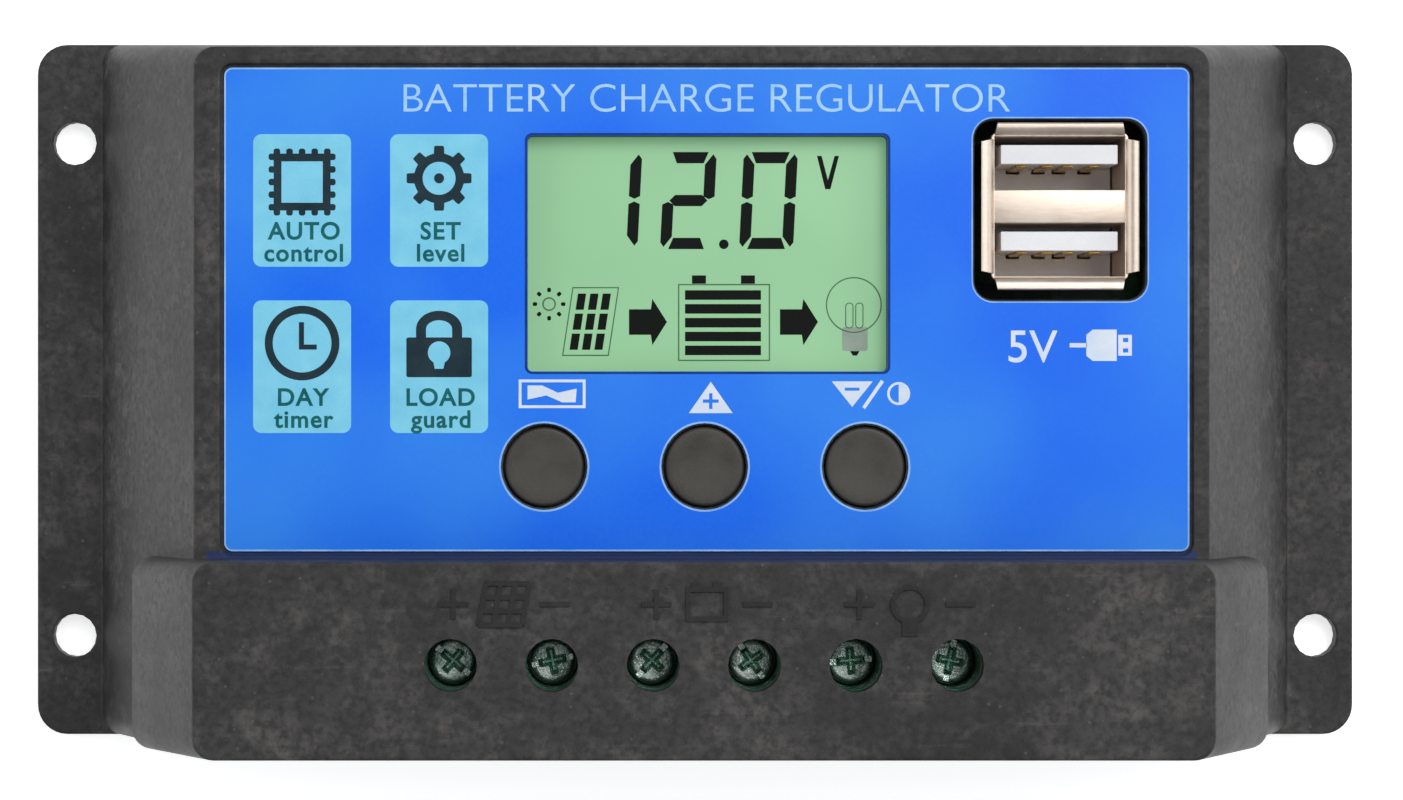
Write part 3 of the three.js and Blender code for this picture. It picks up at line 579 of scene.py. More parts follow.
def meshOf(data):
    # the solid mesh of a curve or text, in millimetres
    holder = placed("holder", data)
    bpy.context.view_layer.update()
    graph = bpy.context.evaluated_depsgraph_get()
    made = bpy.data.meshes.new_from_object(holder.evaluated_get(graph))
    bpy.data.objects.remove(holder)
    return made


def plate(loops, low, high, rounding=0.0, steps=2):
    # a flat plate between two heights; the loops inside the first are holes
    data = bpy.data.curves.new("plate", "CURVE")
    data.dimensions = "2D"
    data.fill_mode = "BOTH"
    data.extrude = (high - low) / 2 - rounding
    data.bevel_depth = rounding
    data.bevel_resolution = steps
    data.offset = -rounding
    for loop in loops:
        spline = data.splines.new("POLY")
        spline.points.add(len(loop) - 1)
        for point, (x, y) in zip(spline.points, loop):
            point.co = (x, y, 0, 1)
        spline.use_cyclic_u = True
    made = meshOf(data)
    made.transform(Matrix.Translation((0, 0, (low + high) / 2)))
    bpy.data.curves.remove(data)
    return made


def circle(x, y, radius, steps=48):
    turn = 2 * math.pi / steps
    return [(x + radius * math.cos(i * turn), y + radius * math.sin(i * turn)) for i in range(steps)]


def rectangle(x, y, width, height):
    return [(x + i * width / 2, y + j * height / 2) for i, j in ((-1, -1), (1, -1), (1, 1), (-1, 1))]


def roundRectangle(x, y, width, height, radius, steps=8):
    points = []
    for i, (sideX, sideY) in enumerate(((1, 1), (-1, 1), (-1, -1), (1, -1))):
        cornerX = x + sideX * (width / 2 - radius)
        cornerY = y + sideY * (height / 2 - radius)
        for step in range(steps + 1):
            angle = (i + step / steps) * math.pi / 2
            points.append((cornerX + radius * math.cos(angle), cornerY + radius * math.sin(angle)))
    return points


def roundRing(x, y, width, height, corner, line):
    # a rounded rectangle drawn as a line of that width, inwards from its outline
    outer = roundRectangle(x, y, width, height, corner)
    return [outer, roundRectangle(x, y, width - 2 * line, height - 2 * line, corner - line)]


def circleRing(x, y, outer, inner, steps=48):
    return [circle(x, y, outer, steps), circle(x, y, inner, steps)]


def stroke(start, end, width):
    # a straight line of that width as a four-cornered loop
    first, last = Vector(start), Vector(end)
    along = (last - first).normalized()
    across = Vector((-along.y, along.x)) * width / 2
    return [tuple(p) for p in (first - across, last - across, last + across, first + across)]


def shifted(loop, x, y):
    return [(px + x, py + y) for px, py in loop]


def beside(place, shift):
    return place[0] + shift[0], place[1] + shift[1]


def turnedLoop(loop, x, y, angle):
    c, s = math.cos(angle), math.sin(angle)
    return [(x + px * c - py * s, y + px * s + py * c) for px, py in loop]


def roundedRim(radius, top, rounding, steps=6):
    # the profile's quarter turn from the side of a head to its top
    points = []
    for i in range(steps + 1):
        angle = i / steps * math.pi / 2
        points.append((radius - rounding * (1 - math.cos(angle)), top - rounding * (1 - math.sin(angle))))
    return points


def joinLoops(made, first, second):
    # a band of faces between two loops; a loop of one point makes a fan
    steps = max(len(first), len(second))
    for i in range(steps):
        j = (i + 1) % steps
        corners = (
            first[i % len(first)], first[j % len(first)], second[j % len(second)], second[i % len(second)],
        )
        made.faces.new(list(dict.fromkeys(corners)))


def finishMesh(made, name):
    bmesh.ops.recalc_face_normals(made, faces=made.faces)
    mesh = bpy.data.meshes.new(name)
    made.to_mesh(mesh)
    made.free()
    return mesh


def lathe(profile, steps=64):
    # a solid of revolution about Z; the profile runs from the axis to the axis
    made = bmesh.new()
    rings = []
    for radius, z in profile:
        if radius < 1e-6:  # on the axis
            rings.append([made.verts.new((0, 0, z))])
        else:
            rings.append([made.verts.new((x, y, z)) for x, y in circle(0, 0, radius, steps)])
    for lower, upper in zip(rings, rings[1:]):
        joinLoops(made, lower, upper)
    return finishMesh(made, "lathe")


def moved(mesh, x=0.0, y=0.0, z=0.0, angle=0.0):
    mesh.transform(Matrix.Translation((x, y, z)) @ Matrix.Rotation(angle, 4, "Z"))
    return mesh


def makePiece(name, meshes, material, body="case", smooth=None):
    # joins meshes in millimetres into one piece that rides on a body
    joined = bmesh.new()
    for mesh in meshes:
        joined.from_mesh(mesh)
        bpy.data.meshes.remove(mesh)
    bmesh.ops.remove_doubles(joined, verts=joined.verts, dist=1e-5)
    bmesh.ops.scale(joined, vec=(mm, mm, mm), verts=joined.verts)
    mesh = bpy.data.meshes.new(name)
    joined.to_mesh(mesh)
    joined.free()
    mesh.materials.append(material)
    made = placed(name, mesh)
    if smooth is not None:
        mesh.shade_smooth()
        mesh.set_sharp_from_angle(angle=math.radians(smooth))
    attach(made, body)
    return made


def plates(shapes, low, high, rounding=0.0):
    return [plate(loops, low, high, rounding) for loops in shapes]


capShare = 0.729  # height of a capital in the built-in lettering, for a size of 1


def lettering(text, centre, capHeight, low, high, width=None, weight=0.0, spacing=1.0):
    # words as thin solid letters about a centre; width stretches them to a length
    data = bpy.data.curves.new("lettering", "FONT")
    data.body = text
    data.size = capHeight / capShare
    data.extrude = (high - low) / 2
    data.offset = weight
    data.space_character = spacing
    data.resolution_u = 6
    made = meshOf(data)
    bpy.data.curves.remove(data)
    xs = [v.co.x for v in made.vertices]
    middle = (min(xs) + max(xs)) / 2
    stretch = width / (max(xs) - min(xs)) if width else 1.0
    place = Matrix.Translation((centre[0], centre[1] - capHeight / 2, (low + high) / 2))
    made.transform(place @ Matrix.Diagonal((stretch, 1, 1, 1)) @ Matrix.Translation((-middle, 0, 0)))
    return made


# Overlay print

inkLift = 0.015  # millimetres that a layer of ink stands above what it is printed on
inkSink = 0.005


def inkLayer(top, layer=0):
    # the heights of a layer of ink; the first lies straight on the face
    return top + layer * inkLift - inkSink, top + (layer + 1) * inkLift


overlayPrint = {
    "title": "BATTERY CHARGE REGULATOR",
    "titleDrop": 2.8,  # below the overlay's top edge
    "titleHeight": 2.85,
    "titleWidth": 58.0,
    "padSize": (9.37, 12.68),
    "padCorner": 0.8,
    "padColumns": (7.45, 20.55),  # from the overlay's left edge
    "padRows": (12.7, 28.6),  # from its top edge
    "iconRises": (1.76, 2.12, 2.26, 2.1),  # above the middles of their pads
    "captions": (("AUTO", "control"), ("SET", "level"), ("DAY", "timer"), ("LOAD", "guard")),
    "captionHeight": 1.7,
    "captionShift": 0.15,
    "captionDrops": (2.85, 4.95),
    "corner": 0.8,
    "edgeWidth": 0.16,
    "buttonRing": (4.33, 4.15),
    "mouthSize": (16.98, 17.78),
    "mouthCorner": 2.1,
    "mouthEdge": 0.13,
    "windowShadowRing": ((0.5, 0.7), (0.04, 0.5)),  # painted shadow of the window: each line's growth round the window and its corner
}

inks = {
    "pad": ink("cyanInk", (124, 210, 242), (144, 224, 250)),
    "icon": ink("slateInk", (24, 44, 54), (40, 62, 72)),
    "caption": ink("tealInk", (16, 92, 98), (28, 116, 118)),
    "title": ink("paleBlueInk", (150, 208, 255), (196, 230, 255)),
    "symbol": ink("whiteInk", (214, 232, 255), (240, 246, 255)),
    "edge": ink("paleEdgeInk", (120, 180, 250), (170, 212, 255)),
    # a painted shadow ring round the display window, drawn in dark blue ink
    "paintedShadow": ink("windowShadowInk", (8, 52, 130), (14, 70, 160)),
    "segment": ink("segmentInk", (4, 10, 6), (12, 20, 13), (0.45, 0.6)),
    "faint": ink("outlineInk", (70, 112, 76), (92, 134, 98), (0.3, 0.4)),
    "lampBase": ink("greyInk", (150, 168, 152), (168, 186, 168), (0.3, 0.4)),
}

def chipIcon(x, y):
    # a square ring with pins on each side, drawn as one outline
    half, hole, pins, pin, reach, chamfer = 2.72, 3.96, 5, 0.62, 0.48, 0.15
    neck, tip = half + reach * 0.7, half + reach
    side = []
    for i in range(pins):
        step = (i - (pins - 1) / 2) * (2 * half - pin) / (pins - 1)
        low, high = step - pin / 2, step + pin / 2
        side += [(half, low), (neck, low), (tip, low + chamfer)]
        side += [(tip, high - chamfer), (neck, high), (half, high)]
    outline = [point for turn in range(4) for point in turnedLoop(side, x, y, turn * math.pi / 2)]
    return [[outline, rectangle(x, y, hole, hole)]]


def gearIcon(x, y):
    # teeth round a ring, drawn as one outline
    teeth, valley, hole, hub = 8, 2.4, 1.58, 0.48
    side = [(2.36, -0.5), (3.0, -0.47), (3.1, -0.38), (3.1, 0.38), (3.0, 0.47), (2.36, 0.5)]
    for angle in (16, 19, 22.5, 26, 29):  # the valley beside a tooth
        side += turnedLoop([(valley, 0)], 0, 0, math.radians(angle))
    turn = 2 * math.pi / teeth
    outline = [point for i in range(teeth) for point in turnedLoop(side, x, y, i * turn)]
    return [[outline, circle(x, y, hole)], [circle(x, y, hub)]]


def clockIcon(x, y):
    radius, inner = 3.57, 2.81
    hands = [(-0.3, -0.62), (1.4, -0.62), (1.4, -0.14), (0.18, -0.14), (0.18, 2.0), (-0.3, 2.0)]
    return [circleRing(x, y, radius, inner, 64), [shifted(hands, x, y)]]


def lockIcon(x, y):
    # a body with a keyhole, and a shackle standing on it
    bodyDrop, keyDrop, keyRadius = 1.2, 0.75, 1.08
    foot, spring = 0.69, 1.5  # heights of the shackle's feet and of the start of its arch
    body = roundRectangle(x, y - bodyDrop, 6.26, 3.8, 0.2)
    keyhole = []
    for i in range(33):  # a round top that narrows to a foot
        angle = math.radians(-60 + i * 300 / 32)
        keyhole.append((x + keyRadius * math.cos(angle), y - keyDrop + keyRadius * math.sin(angle)))
    keyhole += [(x - 0.42, y - 2.3), (x + 0.42, y - 2.3)]

    def arch(half, rise, way):  # one edge of the shackle, from foot to foot
        points = [(x + way * half, y + foot)]
        for i in range(25):
            angle = i * math.pi / 24
            points.append((x + way * half * math.cos(angle), y + spring + rise * math.sin(angle)))
        return points + [(x - way * half, y + foot)]

    return [[body, keyhole], [arch(2.2, 1.75, 1) + arch(1.25, 0.85, -1)]]


def overlayMarks():
    look = overlayPrint
    first, second = inkLayer(overlayHigh.z), inkLayer(overlayHigh.z, 1)
    centre = (overlayLow + overlayHigh) / 2
    size = overlayHigh - overlayLow

    outline = roundRing(centre.x, centre.y, size.x, size.y, look["corner"], look["edgeWidth"])
    rings = [circleRing(x, y, *look["buttonRing"]) for x, y in buttonPlaces]
    mouthY = socketCentre.y - socketRise
    mouth = roundRing(socketCentre.x, mouthY, *look["mouthSize"], look["mouthCorner"], look["mouthEdge"])
    makePiece("overlay_edge_lines", plates([outline, mouth, *rings], *first), inks["edge"])

    width, height = displayRight - displayLeft, displayTop - displayBottom
    middle = ((displayLeft + displayRight) / 2, (displayBottom + displayTop) / 2)
    # a dark blue ring painted round the display window as the shadow of its recess
    windowShadowLoops = [
        roundRectangle(*middle, width + growth, height + growth, corner)
        for growth, corner in look["windowShadowRing"]
    ]
    makePiece("display_window_shadow", plates([windowShadowLoops], *first), inks["paintedShadow"])

    title = lettering(
        look["title"], (centre.x, overlayHigh.y - look["titleDrop"]), look["titleHeight"], *first,
        width=look["titleWidth"], weight=-0.03,
    )
    makePiece("title_print", [title], inks["title"])

    padWidth, padHeight = look["padSize"]
    pads, icons, words = [], [], []
    for i, drawing in enumerate((chipIcon, gearIcon, clockIcon, lockIcon)):
        x = overlayLow.x + look["padColumns"][i % 2]
        y = overlayHigh.y - look["padRows"][i // 2]
        pads.append([roundRectangle(x, y, padWidth, padHeight, look["padCorner"])])
        icons += drawing(x, y + look["iconRises"][i])
        for line, drop in zip(look["captions"][i], look["captionDrops"]):
            place = (x + look["captionShift"], y - drop)
            words.append(lettering(line, place, look["captionHeight"], *second, weight=0.05, spacing=1.1))
    makePiece("icon_pads", plates(pads, *first), inks["pad"])
    makePiece("icon_drawings", plates(icons, *second), inks["icon"])
    makePiece("icon_captions", words, inks["caption"])


def buttonSymbols():
    # each over its button and placed from the button's middle
    left, middle, right = buttonPlaces
    wavePlace = beside(left, (0.76, 6.96))
    wave = [
        (-2.35, 0.8), (-0.95, 0.8), (0.55, 0.1), (2.35, 0.5),
        (2.25, -0.82), (0.95, -0.82), (-0.55, -0.15), (-2.35, -0.55),
    ]
    trianglePlace = beside(middle, (0.58, 5.11))
    triangle = [(-2.1, 0), (2.1, 0), (0, 3.0)]
    arm, thick = 0.75, 0.16  # of the plus: its reach and half its width
    cross = [(-arm, thick), (-thick, thick), (-thick, arm), (thick, arm), (thick, thick), (arm, thick)]
    cross += [(-px, -py) for px, py in cross]
    funnel = [(-3.2, 8.15), (0.72, 8.15), (-1.25, 5.7)]
    slash = [(-0.15, 5.6), (1.65, 8.2)]
    moonPlace, moonRadius = beside(right, (3.2, 6.98)), 0.87
    turns = [math.radians(-90 + i * 7.5) for i in range(25)]
    moon = [(moonRadius * math.cos(turn), moonRadius * math.sin(turn)) for turn in turns]
    shapes = [
        [rectangle(*wavePlace, 6.4, 2.74), rectangle(*wavePlace, 5.85, 2.2)],
        [shifted(wave, *wavePlace)],
        [shifted(triangle, *trianglePlace), shifted(cross, *beside(trianglePlace, (0, 1.15)))],
        [shifted(funnel, *right), rectangle(*beside(right, (-1.25, 7.4)), 1.4, 0.3)],
        [stroke(*shifted(slash, *right), 0.34)],
        circleRing(*moonPlace, 1.1, 0.86),
        [shifted(moon, *moonPlace)],
    ]
    makePiece("button_symbols", plates(shapes, *inkLayer(overlayHigh.z)), inks["symbol"])


outlet = {  # a plain plug beside its voltage, under the sockets
    "rise": 19.7,  # above the overlay's low edge
    "word": "5V",
    "wordShift": -2.6,
    "wordHeight": 3.2,
    "lead": ((0.9, 0), (2.55, 0)),
    "leadWidth": 0.42,
    "body": [(2.5, -1.0), (3.1, -1.5), (5.4, -1.5), (5.4, 1.5), (3.1, 1.5), (2.5, 1.0)],
    "tip": (6.2, 1.3, 2.0),  # place along the plug, width and height
    "hole": (6.25, 0.5, 0.5, 0.4),  # place along and across the plug, width and height
}


def outletMark():
    layer = inkLayer(overlayHigh.z)
    x, y = socketCentre.x, overlayLow.y + outlet["rise"]
    tipX, *tipSize = outlet["tip"]
    holeX, holeY, *holeSize = outlet["hole"]
    holes = [rectangle(x + holeX, y + side * holeY, *holeSize) for side in (1, -1)]
    shapes = [
        [shifted(outlet["body"], x, y)],
        [rectangle(x + tipX, y, *tipSize), *holes],
        [stroke(*shifted(outlet["lead"], x, y), outlet["leadWidth"])],
    ]
    place = (x + outlet["wordShift"], y)
    word = lettering(outlet["word"], place, outlet["wordHeight"], *layer, weight=0.02)
    makePiece("outlet_mark", [*plates(shapes, *layer), word], inks["symbol"])


overlayMarks()
buttonSymbols()
outletMark()
print("overlay printed")


# Display contents; places are from the low left corner of the display's window

segments = {
    "width": 1.08,
    "gap": 0.13,
    "slant": 0.05,
    "notch": 0.25,
    "digits": (  # lit bars, left edge, low edge, width and height
        ("bc", 5.95, 11.9, 4.6, 9.2),
        ("abged", 12.71, 11.79, 5.0, 9.33),
        ("abcdef", 20.31, 11.79, 5.2, 9.33),
    ),
    "point": (18.85, 12.25, 0.46),
    "unit": [
        (27.81, 20.75), (28.25, 20.75), (28.86, 18.4), (29.5, 20.75), (29.92, 20.75),
        (29.1, 17.55), (28.6, 17.55),
    ],
}
flowShapes = {  # sun, panel, battery and lamp with the arrows between them
    "sun": (2.05, 6.5),
    "sunRing": (0.66, 0.52),
    "rays": 8,
    "ray": (1.36, 0, 0.42, 0.36, 0.12, 3),  # place, size, corner and its steps
    "panel": (3.29, 1.51),
    "panelSize": (4.5, 6.63),
    "panelLean": 1.0,
    "panelEdge": (0.025, 0.018),  # shares of its size, as the cells' are
    "cellStart": (0.14, 0.09),
    "cellPitch": (0.265, 0.29),
    "cellSize": (0.175, 0.235),
    "arrows": (9.73, 24.25),
    "arrow": [(0, 3.55), (2.1, 3.55), (2.25, 2.56), (3.65, 4.78), (2.25, 6.99), (2.1, 6.0), (0, 6.0)],
    "battery": (18.87, 4.73),
    "batterySize": (8.85, 7.41),
    "batteryEdge": 0.25,
    "charge": (-0.1, 2.05, 7.3, 0.92),  # the lowest bar: place along, height, width and thickness
    "chargePitch": 1.33,
    "chargeBars": 5,
    "posts": (16.46, 21.17),
    "postHeight": 8.86,
    "postSize": (1.34, 0.8),
    "bulb": (31.35, 6.41),
    "bulbRing": (2.69, 2.57),
    "filament": (0.05, 0.48, 5.4),  # shift, spread to each side and height
    "filamentLoops": ((0.8, 2.5, 0.38), (0.6, 2.3, 0.28)),
    "bulbBase": (0.1, 3.14, 2.46, 2.3, 0.25),
    "bulbBaseLift": 0.8,  # share of the other ink's thickness
    "bulbTip": [(-0.35, 1.98), (0.55, 1.98), (0.3, 1.55), (-0.1, 1.55)],
}


def digitBars(lit, left, low, width, height):
    s, g, n, h = segments["width"], segments["gap"], segments["notch"], height / 2
    right = width
    bars = {
        "a": [
            (s * 0.6 + g, height), (right - s * 0.6 - g, height), (right - s - g, height - s),
            (s + g, height - s),
        ],
        "f": [
            (0, height - s * 0.6), (s * 0.3, height - s * 0.2), (s, height - s - g), (s, h + g + n),
            (s / 2, h + g), (0, h + g + n),
        ],
        "e": [
            (0, s * 0.6), (s * 0.3, s * 0.2), (s, s + g), (s, h - g - n), (s / 2, h - g), (0, h - g - n),
        ],
        "g": [
            (s / 2 + g, h), (s + g, h + s / 2), (right - s - g, h + s / 2), (right - s / 2 - g, h),
            (right - s - g, h - s / 2), (s + g, h - s / 2),
        ],
    }
    bars["b"] = [(right - x, y) for x, y in bars["f"]]
    bars["c"] = [(right - x, y) for x, y in bars["e"]]
    bars["d"] = [(x, height - y) for x, y in bars["a"]]
    x0, y0 = displayLeft + left, displayBottom + low
    return [[[(x0 + x + segments["slant"] * y, y0 + y) for x, y in bars[letter]]] for letter in lit]


def panelDrawing(x, y):
    # the leaning panel: its outline and its cells
    look = flowShapes
    width, height = look["panelSize"]

    def part(left, right, low, high):
        corners = ((left, low), (right, low), (right, high), (left, high))
        return [(x + width * u + look["panelLean"] * v, y + height * v) for u, v in corners]

    edgeX, edgeY = look["panelEdge"]
    outline = [part(0, 1, 0, 1), part(edgeX, 1 - edgeX, edgeY, 1 - edgeY)]
    cells = []
    for row in range(3):
        for column in range(3):
            left = look["cellStart"][0] + column * look["cellPitch"][0]
            low = look["cellStart"][1] + row * look["cellPitch"][1]
            cells.append([part(left, left + look["cellSize"][0], low, low + look["cellSize"][1])])
    return outline, cells


def displayContents():
    look = flowShapes
    corner = displayLeft, displayBottom
    dark, thin = [], []
    for digit in segments["digits"]:
        dark += digitBars(*digit)
    *point, radius = segments["point"]
    dark.append([circle(*beside(corner, point), radius, 24)])
    dark.append([shifted(segments["unit"], *corner)])

    sun = beside(corner, look["sun"])
    ray = roundRectangle(*look["ray"])
    dark += [[turnedLoop(ray, *sun, i * 2 * math.pi / look["rays"])] for i in range(look["rays"])]
    thin.append(circleRing(*sun, *look["sunRing"]))

    outline, cells = panelDrawing(*beside(corner, look["panel"]))
    thin.append(outline)
    dark += cells
    dark += [[shifted(look["arrow"], *beside(corner, (left, 0)))] for left in look["arrows"]]

    batteryX, batteryY = beside(corner, look["battery"])
    width, height = look["batterySize"]
    thin.append([
        rectangle(batteryX, batteryY, width, height),
        rectangle(batteryX, batteryY, width - look["batteryEdge"], height - look["batteryEdge"]),
    ])
    barX, barY, *barSize = look["charge"]
    for i in range(look["chargeBars"]):
        y = displayBottom + barY + i * look["chargePitch"]
        dark.append([rectangle(batteryX + barX, y, *barSize)])
    for post in look["posts"]:
        dark.append([rectangle(*beside(corner, (post, look["postHeight"])), *look["postSize"])])

    bulb = beside(corner, look["bulb"])
    bulbFoot = bulb[0], displayBottom
    thin.append(circleRing(*bulb, *look["bulbRing"], 64))
    shift, spread, rise = look["filament"]
    for side in (-1, 1):
        place = beside(bulbFoot, (shift + side * spread, rise))
        thin.append([roundRectangle(*place, *loop) for loop in look["filamentLoops"]])
    basePlace, baseSize = look["bulbBase"][:2], look["bulbBase"][2:]
    base = [roundRectangle(*beside(bulbFoot, basePlace), *baseSize)]
    dark.append([shifted(look["bulbTip"], *bulbFoot)])

    low, high = inkLayer(glassHigh.z)
    makePiece("display_segments", plates(dark, low, high), inks["segment"])
    makePiece("display_outlines", plates(thin, low, high), inks["faint"])
    baseTop = glassHigh.z + look["bulbBaseLift"] * inkLift
    makePiece("display_lamp_base", plates([base], low, baseTop), inks["lampBase"])


displayContents()
print("display drawn")


# Push buttons

buttonCap = {
    "dish": 0.14,  # how far the middle of the cap lies below its rim
    "dishSteps": 8,
    "rimRounding": 0.34,
    "stemRadius": 2.0,
    "capRadius": 3.8,
    "flangeThickness": 1.2,
    "flangeTop": 24.6,
}


def buttonProfile(low, top, flangeRadius):
    cap, rounding, dish = buttonCap["capRadius"], buttonCap["rimRounding"], buttonCap["dish"]
    flangeTop, stem = buttonCap["flangeTop"], buttonCap["stemRadius"]
    flangeLow = flangeTop - buttonCap["flangeThickness"]
    profile = [
        (0, low), (stem, low), (stem, flangeLow), (flangeRadius, flangeLow), (flangeRadius, flangeTop),
        (cap, flangeTop), *roundedRim(cap, top, rounding),
    ]
    rim, steps = cap - rounding, buttonCap["dishSteps"]
    for i in range(1, steps + 1):
        left = 1 - i / steps
        profile.append((rim * left, top - dish * (1 - left ** 2) ** 2))
    return profile


def pushButtons():
    for i, (x, y) in enumerate(buttonPlaces, 1):
        low, high = span(f"button_{i}")
        cap = moved(lathe(buttonProfile(low.z, high.z, (high.x - low.x) / 2)), x, y)
        made = makePiece(
            f"button_cap_{i}", [cap], finishes["button"], f"button_body_{i}", smooth=35,
        )
        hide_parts(f"button_{i}")


pushButtons()
print("buttons turned")


# Stacked socket shell: a folded can with a bar between its mouths and four flared lips

shellShape = {
    "sheet": 0.3,
    "portWidth": 12.5,
    "portHeight": 5.12,
    "portPitch": 8.3,
    "corner": 0.5,
    "frontDrop": 0.55,  # of the can's front edge below the lips' tips
    "edgeRounding": 0.05,
    "overlap": 0.2,  # of the bar and its walls with the can's sides
    "barTop": 0.1,  # below the can's front edge
    "barLow": 0.75,
    "barRounding": 0.1,
    "wallLow": 7.9,  # above the can's back
    "wallTop": 0.4,  # below its front edge
    "lipReach": 1.0,
    "lipHeight": 0.75,
    "lipSteps": 7,
    "lipTurn": math.radians(72),
    "lipCornerGaps": (1.1, 0.6),  # of the upright lips and of the level ones
    "lipNarrowing": 0.25,
    "lipInset": 0.006,
}


def flaredLip(length, top):
    # a strip that curls outward along +X from the can's wall, ending at the top
    shape = shellShape
    reach, height, sheet = shape["lipReach"], shape["lipHeight"], shape["sheet"]
    steps, fullTurn = shape["lipSteps"], shape["lipTurn"]
    made = bmesh.new()
    loops = []
    for i in range(steps + 1):
        angle = i / steps * fullTurn
        lean = angle * 0.9  # the sheet's own thickness turns a little less
        outerX = reach * (1 - math.cos(angle)) / (1 - math.cos(fullTurn))
        outerZ = top - height + height * math.sin(angle) / math.sin(fullTurn) - sheet * 0.35
        innerX = outerX - math.cos(lean) * sheet
        innerZ = min(outerZ + math.sin(lean) * sheet, top)
        half = length / 2 - shape["lipNarrowing"] * outerX
        corners = (
            (outerX, -half, outerZ), (innerX, -half, innerZ),
            (innerX, half, innerZ), (outerX, half, outerZ),
        )
        loops.append([made.verts.new(corner) for corner in corners])
    for first, second in zip(loops, loops[1:]):
        joinLoops(made, first, second)
    made.faces.new(loops[0][::-1])
    made.faces.new(loops[-1])
    return finishMesh(made, "lip")


def socketShell():
    shape = shellShape
    x, y = socketCentre.x, socketCentre.y
    sheet, portWidth = shape["sheet"], shape["portWidth"]
    between = shape["portPitch"] - shape["portHeight"]
    halfX = portWidth / 2 + sheet
    halfY = shape["portPitch"] / 2 + shape["portHeight"] / 2 + sheet
    front = shellHigh.z - shape["frontDrop"]
    outer = roundRectangle(x, y, 2 * halfX, 2 * halfY, shape["corner"])
    inner = rectangle(x, y, portWidth, 2 * (halfY - sheet))
    can = plate([outer, inner], shellLow.z, front, shape["edgeRounding"])
    barWidth = portWidth + shape["overlap"]
    bar = plate(
        [rectangle(x, y, barWidth, between)], front - shape["barLow"], front - shape["barTop"],
        shape["barRounding"],
    )
    wallPlaces = [y + side * (between - sheet) / 2 for side in (-1, 1)]
    walls = plates(
        [[rectangle(x, wallY, barWidth, sheet)] for wallY in wallPlaces],
        shellLow.z + shape["wallLow"], front - shape["wallTop"], shape["edgeRounding"],
    )
    uprightGap, levelGap = shape["lipCornerGaps"]
    lips = []
    for turn in range(4):
        upright = turn % 2 == 0
        distance = halfX if upright else halfY
        length = 2 * halfY - uprightGap if upright else 2 * halfX - levelGap
        lip = flaredLip(length, shellHigh.z)
        lip.transform(Matrix.Translation((distance - shape["lipInset"], 0, 0)))
        lips.append(moved(lip, x, y, 0, turn * math.pi / 2))
    made = makePiece(
        "usb_shell_formed", [can, bar, *walls, *lips], finishes["tinned"], "case", smooth=38,
    )
    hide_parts("usb_shell")


socketShell()
print("socket shell folded")


# Terminal screws: rounded heads with a combined slot and cross, and a ridged shank

terminalScrew = {
    "headHeight": 2.0,
    "headRounding": 0.5,
    "crown": 0.12,
    "crownSteps": 5,
    "shankRadius": 1.65,
    "tipChamfer": (0.35, 0.3),  # of the radius and of the height
    "ridgeDepth": 0.22,
    "ridgePitch": 0.6,
    "slot": (0.72, 0.34),  # width and depth
    "slotTaper": 0.8,
    "cross": (1.0, 1.5, 0.8),  # width, reach and depth
    "crossTaper": 0.22,
    "turns": (-40, 12, 48, -55, 5, 78),
    "edgeRounding": 0.05,
    "edgeAngle": 45,
}
platedFinish = {
    "dark": colour(186, 216, 200),
    "light": colour(246, 255, 250),
    # painted shade with a painted green reflection of the moulding, inside the recess
    "recess": colour(112, 168, 142),
    "recessShadeDepth": (0.2, 0.8),  # where the painted shade begins and where it is full
    "recessShadeAmount": 0.9,
    "roughness": (0.14, 0.34),
    "relief": 0.05,
    "dents": 2.5,  # of the relief, beside its grain
}


def screwProfile(low, top, radius):
    shape = terminalScrew
    seat, shank, rounding = top - shape["headHeight"], shape["shankRadius"], shape["headRounding"]
    root, pitch = shank - shape["ridgeDepth"], shape["ridgePitch"]
    chamfer, tip = shape["tipChamfer"]
    profile = [(0, low), (shank - chamfer, low)]
    z = low + tip
    while z + pitch < seat:
        profile += [(root, z), (shank, z + pitch / 2)]
        z += pitch
    rim = top - shape["crown"]
    profile += [(root, z), (root, seat), (radius, seat), *roundedRim(radius, rim, rounding)]
    reach, steps = radius - rounding, shape["crownSteps"]
    for i in range(1, steps + 1):
        left = 1 - i / steps
        profile.append((reach * left, rim + shape["crown"] * (1 - left ** 2)))
    return profile


def taperedBar(width, reach, low, top, taper):
    # one bar of the recess, narrower and shorter at its bottom
    made = bmesh.new()
    loops = []
    for z, share in ((low, taper), (top, 1.0)):
        halfX, halfY = reach * (0.55 + 0.45 * share), width / 2 * share
        loops.append([made.verts.new((*corner, z)) for corner in rectangle(0, 0, 2 * halfX, 2 * halfY)])
    made.faces.new(loops[0][::-1])
    made.faces.new(loops[1])
    joinLoops(made, *loops)
    return finishMesh(made, "recess")


def cutAway(mesh, tools):
    # the mesh less each tool
    body = placed("holder", mesh)
    others = [placed("holder", tool) for tool in tools]
    for other in others:
        cutter = body.modifiers.new("cut", "BOOLEAN")
        cutter.operation = "DIFFERENCE"
        cutter.solver = "EXACT"
        cutter.object = other
    bpy.context.view_layer.update()
    made = bpy.data.meshes.new_from_object(body.evaluated_get(bpy.context.evaluated_depsgraph_get()))
    for holder in (body, *others):
        bpy.data.objects.remove(holder)
    return made


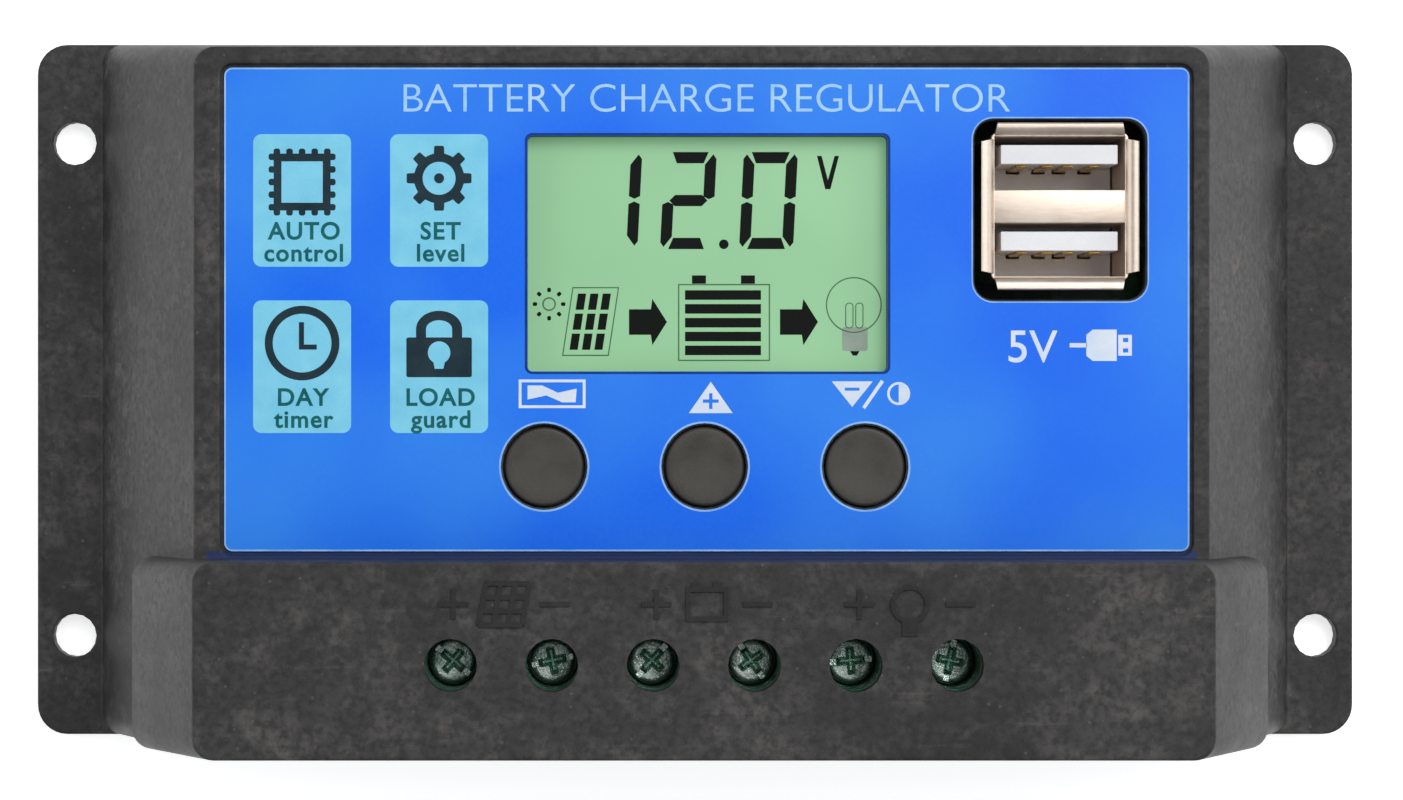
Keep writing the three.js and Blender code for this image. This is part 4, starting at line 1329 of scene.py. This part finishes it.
def platedScrew():
    # bright plating, with painted shade and a painted green reflection of the moulding inside the recess
    look = platedFinish
    made, tree, shader = startMaterial("platedScrew", Metallic=0.8, Specular_IOR_Level=0.8)
    place = millimetres(tree)
    cloud = noise(tree, place, 1.1, 4, 0.6)
    fine = noise(tree, place, 0.25, 3)
    plated = mix(tree, ramp(tree, cloud, 0.35, 0.65), look["dark"], look["light"])
    height = add(tree, "SeparateXYZ", {"Vector": place}).outputs["Z"]
    top = span("terminal_screw_1")[1].z
    start, full = (top - depth for depth in look["recessShadeDepth"])
    # painted shade and green reflection, growing below the head's top
    deep = ramp(tree, height, start, full, 0.0, look["recessShadeAmount"])
    base = mix(tree, deep, plated, look["recess"])
    cover(tree, shader, base, ramp(tree, cloud, 0.3, 0.7, *look["roughness"]))
    bump(tree, shader, plus(tree, fine, times(tree, cloud, look["dents"])), look["relief"])
    return made


def recessTools(radius, top):
    # a slot right across and a cross, both open above the head
    shape = terminalScrew
    slotWidth, slotDepth = shape["slot"]
    crossWidth, crossReach, crossDepth = shape["cross"]
    bars = [taperedBar(slotWidth, radius + 1, top - slotDepth, top + 1, shape["slotTaper"])]
    for angle in (0, math.pi / 2):
        bar = taperedBar(crossWidth, crossReach, top - crossDepth, top + 0.2, shape["crossTaper"])
        bars.append(moved(bar, angle=angle))
    return bars


def terminalScrews():
    shape = terminalScrew
    plated = platedScrew()
    for i, angle in enumerate(shape["turns"], 1):
        low, high = span(f"terminal_screw_{i}")
        middle = (low + high) / 2
        radius = min(high.x - low.x, high.y - low.y) / 2
        blank = lathe(screwProfile(low.z, high.z, radius), 48)
        screw = cutAway(blank, recessTools(radius, high.z))
        screw = moved(screw, middle.x, middle.y, 0, math.radians(angle))
        made = makePiece(
            f"terminal_screw_head_{i}", [screw], plated, f"screw_body_{i}", smooth=38,
        )
        bevel = made.modifiers.new("edges", "BEVEL")
        bevel.limit_method = "ANGLE"
        bevel.angle_limit = math.radians(shape["edgeAngle"])
        bevel.width = shape["edgeRounding"] * mm
        bevel.segments = 2
        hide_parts(f"terminal_screw_{i}")


terminalScrews()
print("terminal screws cut")


# Winding on the inductor drum

winding = {
    "turns": 7,
    "cheek": 1.75,  # height of the drum's ends
    "depth": 0.75,  # of the winding's inside below the drum's side
    "thickness": 0.5,
    "steps": 48,
    "wireSteps": 5,
}


def windingProfile(low, high, inner, outer):
    pitch = (high - low) / winding["turns"]
    profile = [(inner, low)]
    for i in range(winding["turns"]):
        for step in range(winding["wireSteps"] + 1):
            angle = math.pi * step / winding["wireSteps"]
            radius = outer - pitch / 2 + math.sin(angle) * pitch / 2
            profile.append((radius, low + pitch * (i + (1 - math.cos(angle)) / 2)))
    profile.append((inner, high))
    return profile


def inductorWinding():
    low, high = span("buck_inductor")
    middle = (low + high) / 2
    inner = (high.x - low.x) / 2 - winding["depth"]
    cheek = winding["cheek"]
    profile = windingProfile(low.z + cheek, high.z - cheek, inner, inner + winding["thickness"])
    made = bmesh.new()
    rings = [
        [made.verts.new((x, y, z)) for x, y in circle(0, 0, radius, winding["steps"])]
        for radius, z in profile
    ]
    for lower, upper in zip(rings, rings[1:] + rings[:1]):
        joinLoops(made, lower, upper)
    copper = metalFinish("copperWire", (150, 84, 48), (196, 118, 72), (0.25, 0.4))
    wound = moved(finishMesh(made, "winding"), middle.x, middle.y)
    makePiece("inductor_winding", [wound], copper, smooth=50)


inductorWinding()
print("inductor wound")


# Floor

def makeFloor():
    made, tree, shader = startMaterial("paleFloor", Roughness=0.8)
    cloud = noise(tree, millimetres(tree), 60, 2)
    pale = mix(tree, cloud, colour(246, 246, 247), colour(250, 250, 250))
    tree.links.new(pale, shader.inputs["Base Color"])
    shader.inputs["Emission Color"].default_value = (1, 1, 1, 1)
    shader.inputs["Emission Strength"].default_value = studio["floorGlow"]
    mesh = bpy.data.meshes.new("floor")
    corners = [(x, y, 0) for x, y in rectangle(0, 0, studio["floorSize"], studio["floorSize"])]
    mesh.from_pydata(corners, [], [(0, 1, 2, 3)])
    mesh.materials.append(made)
    floor = placed("floor", mesh)
    floor.location.z = -studio["floorDrop"] * mm


makeFloor()
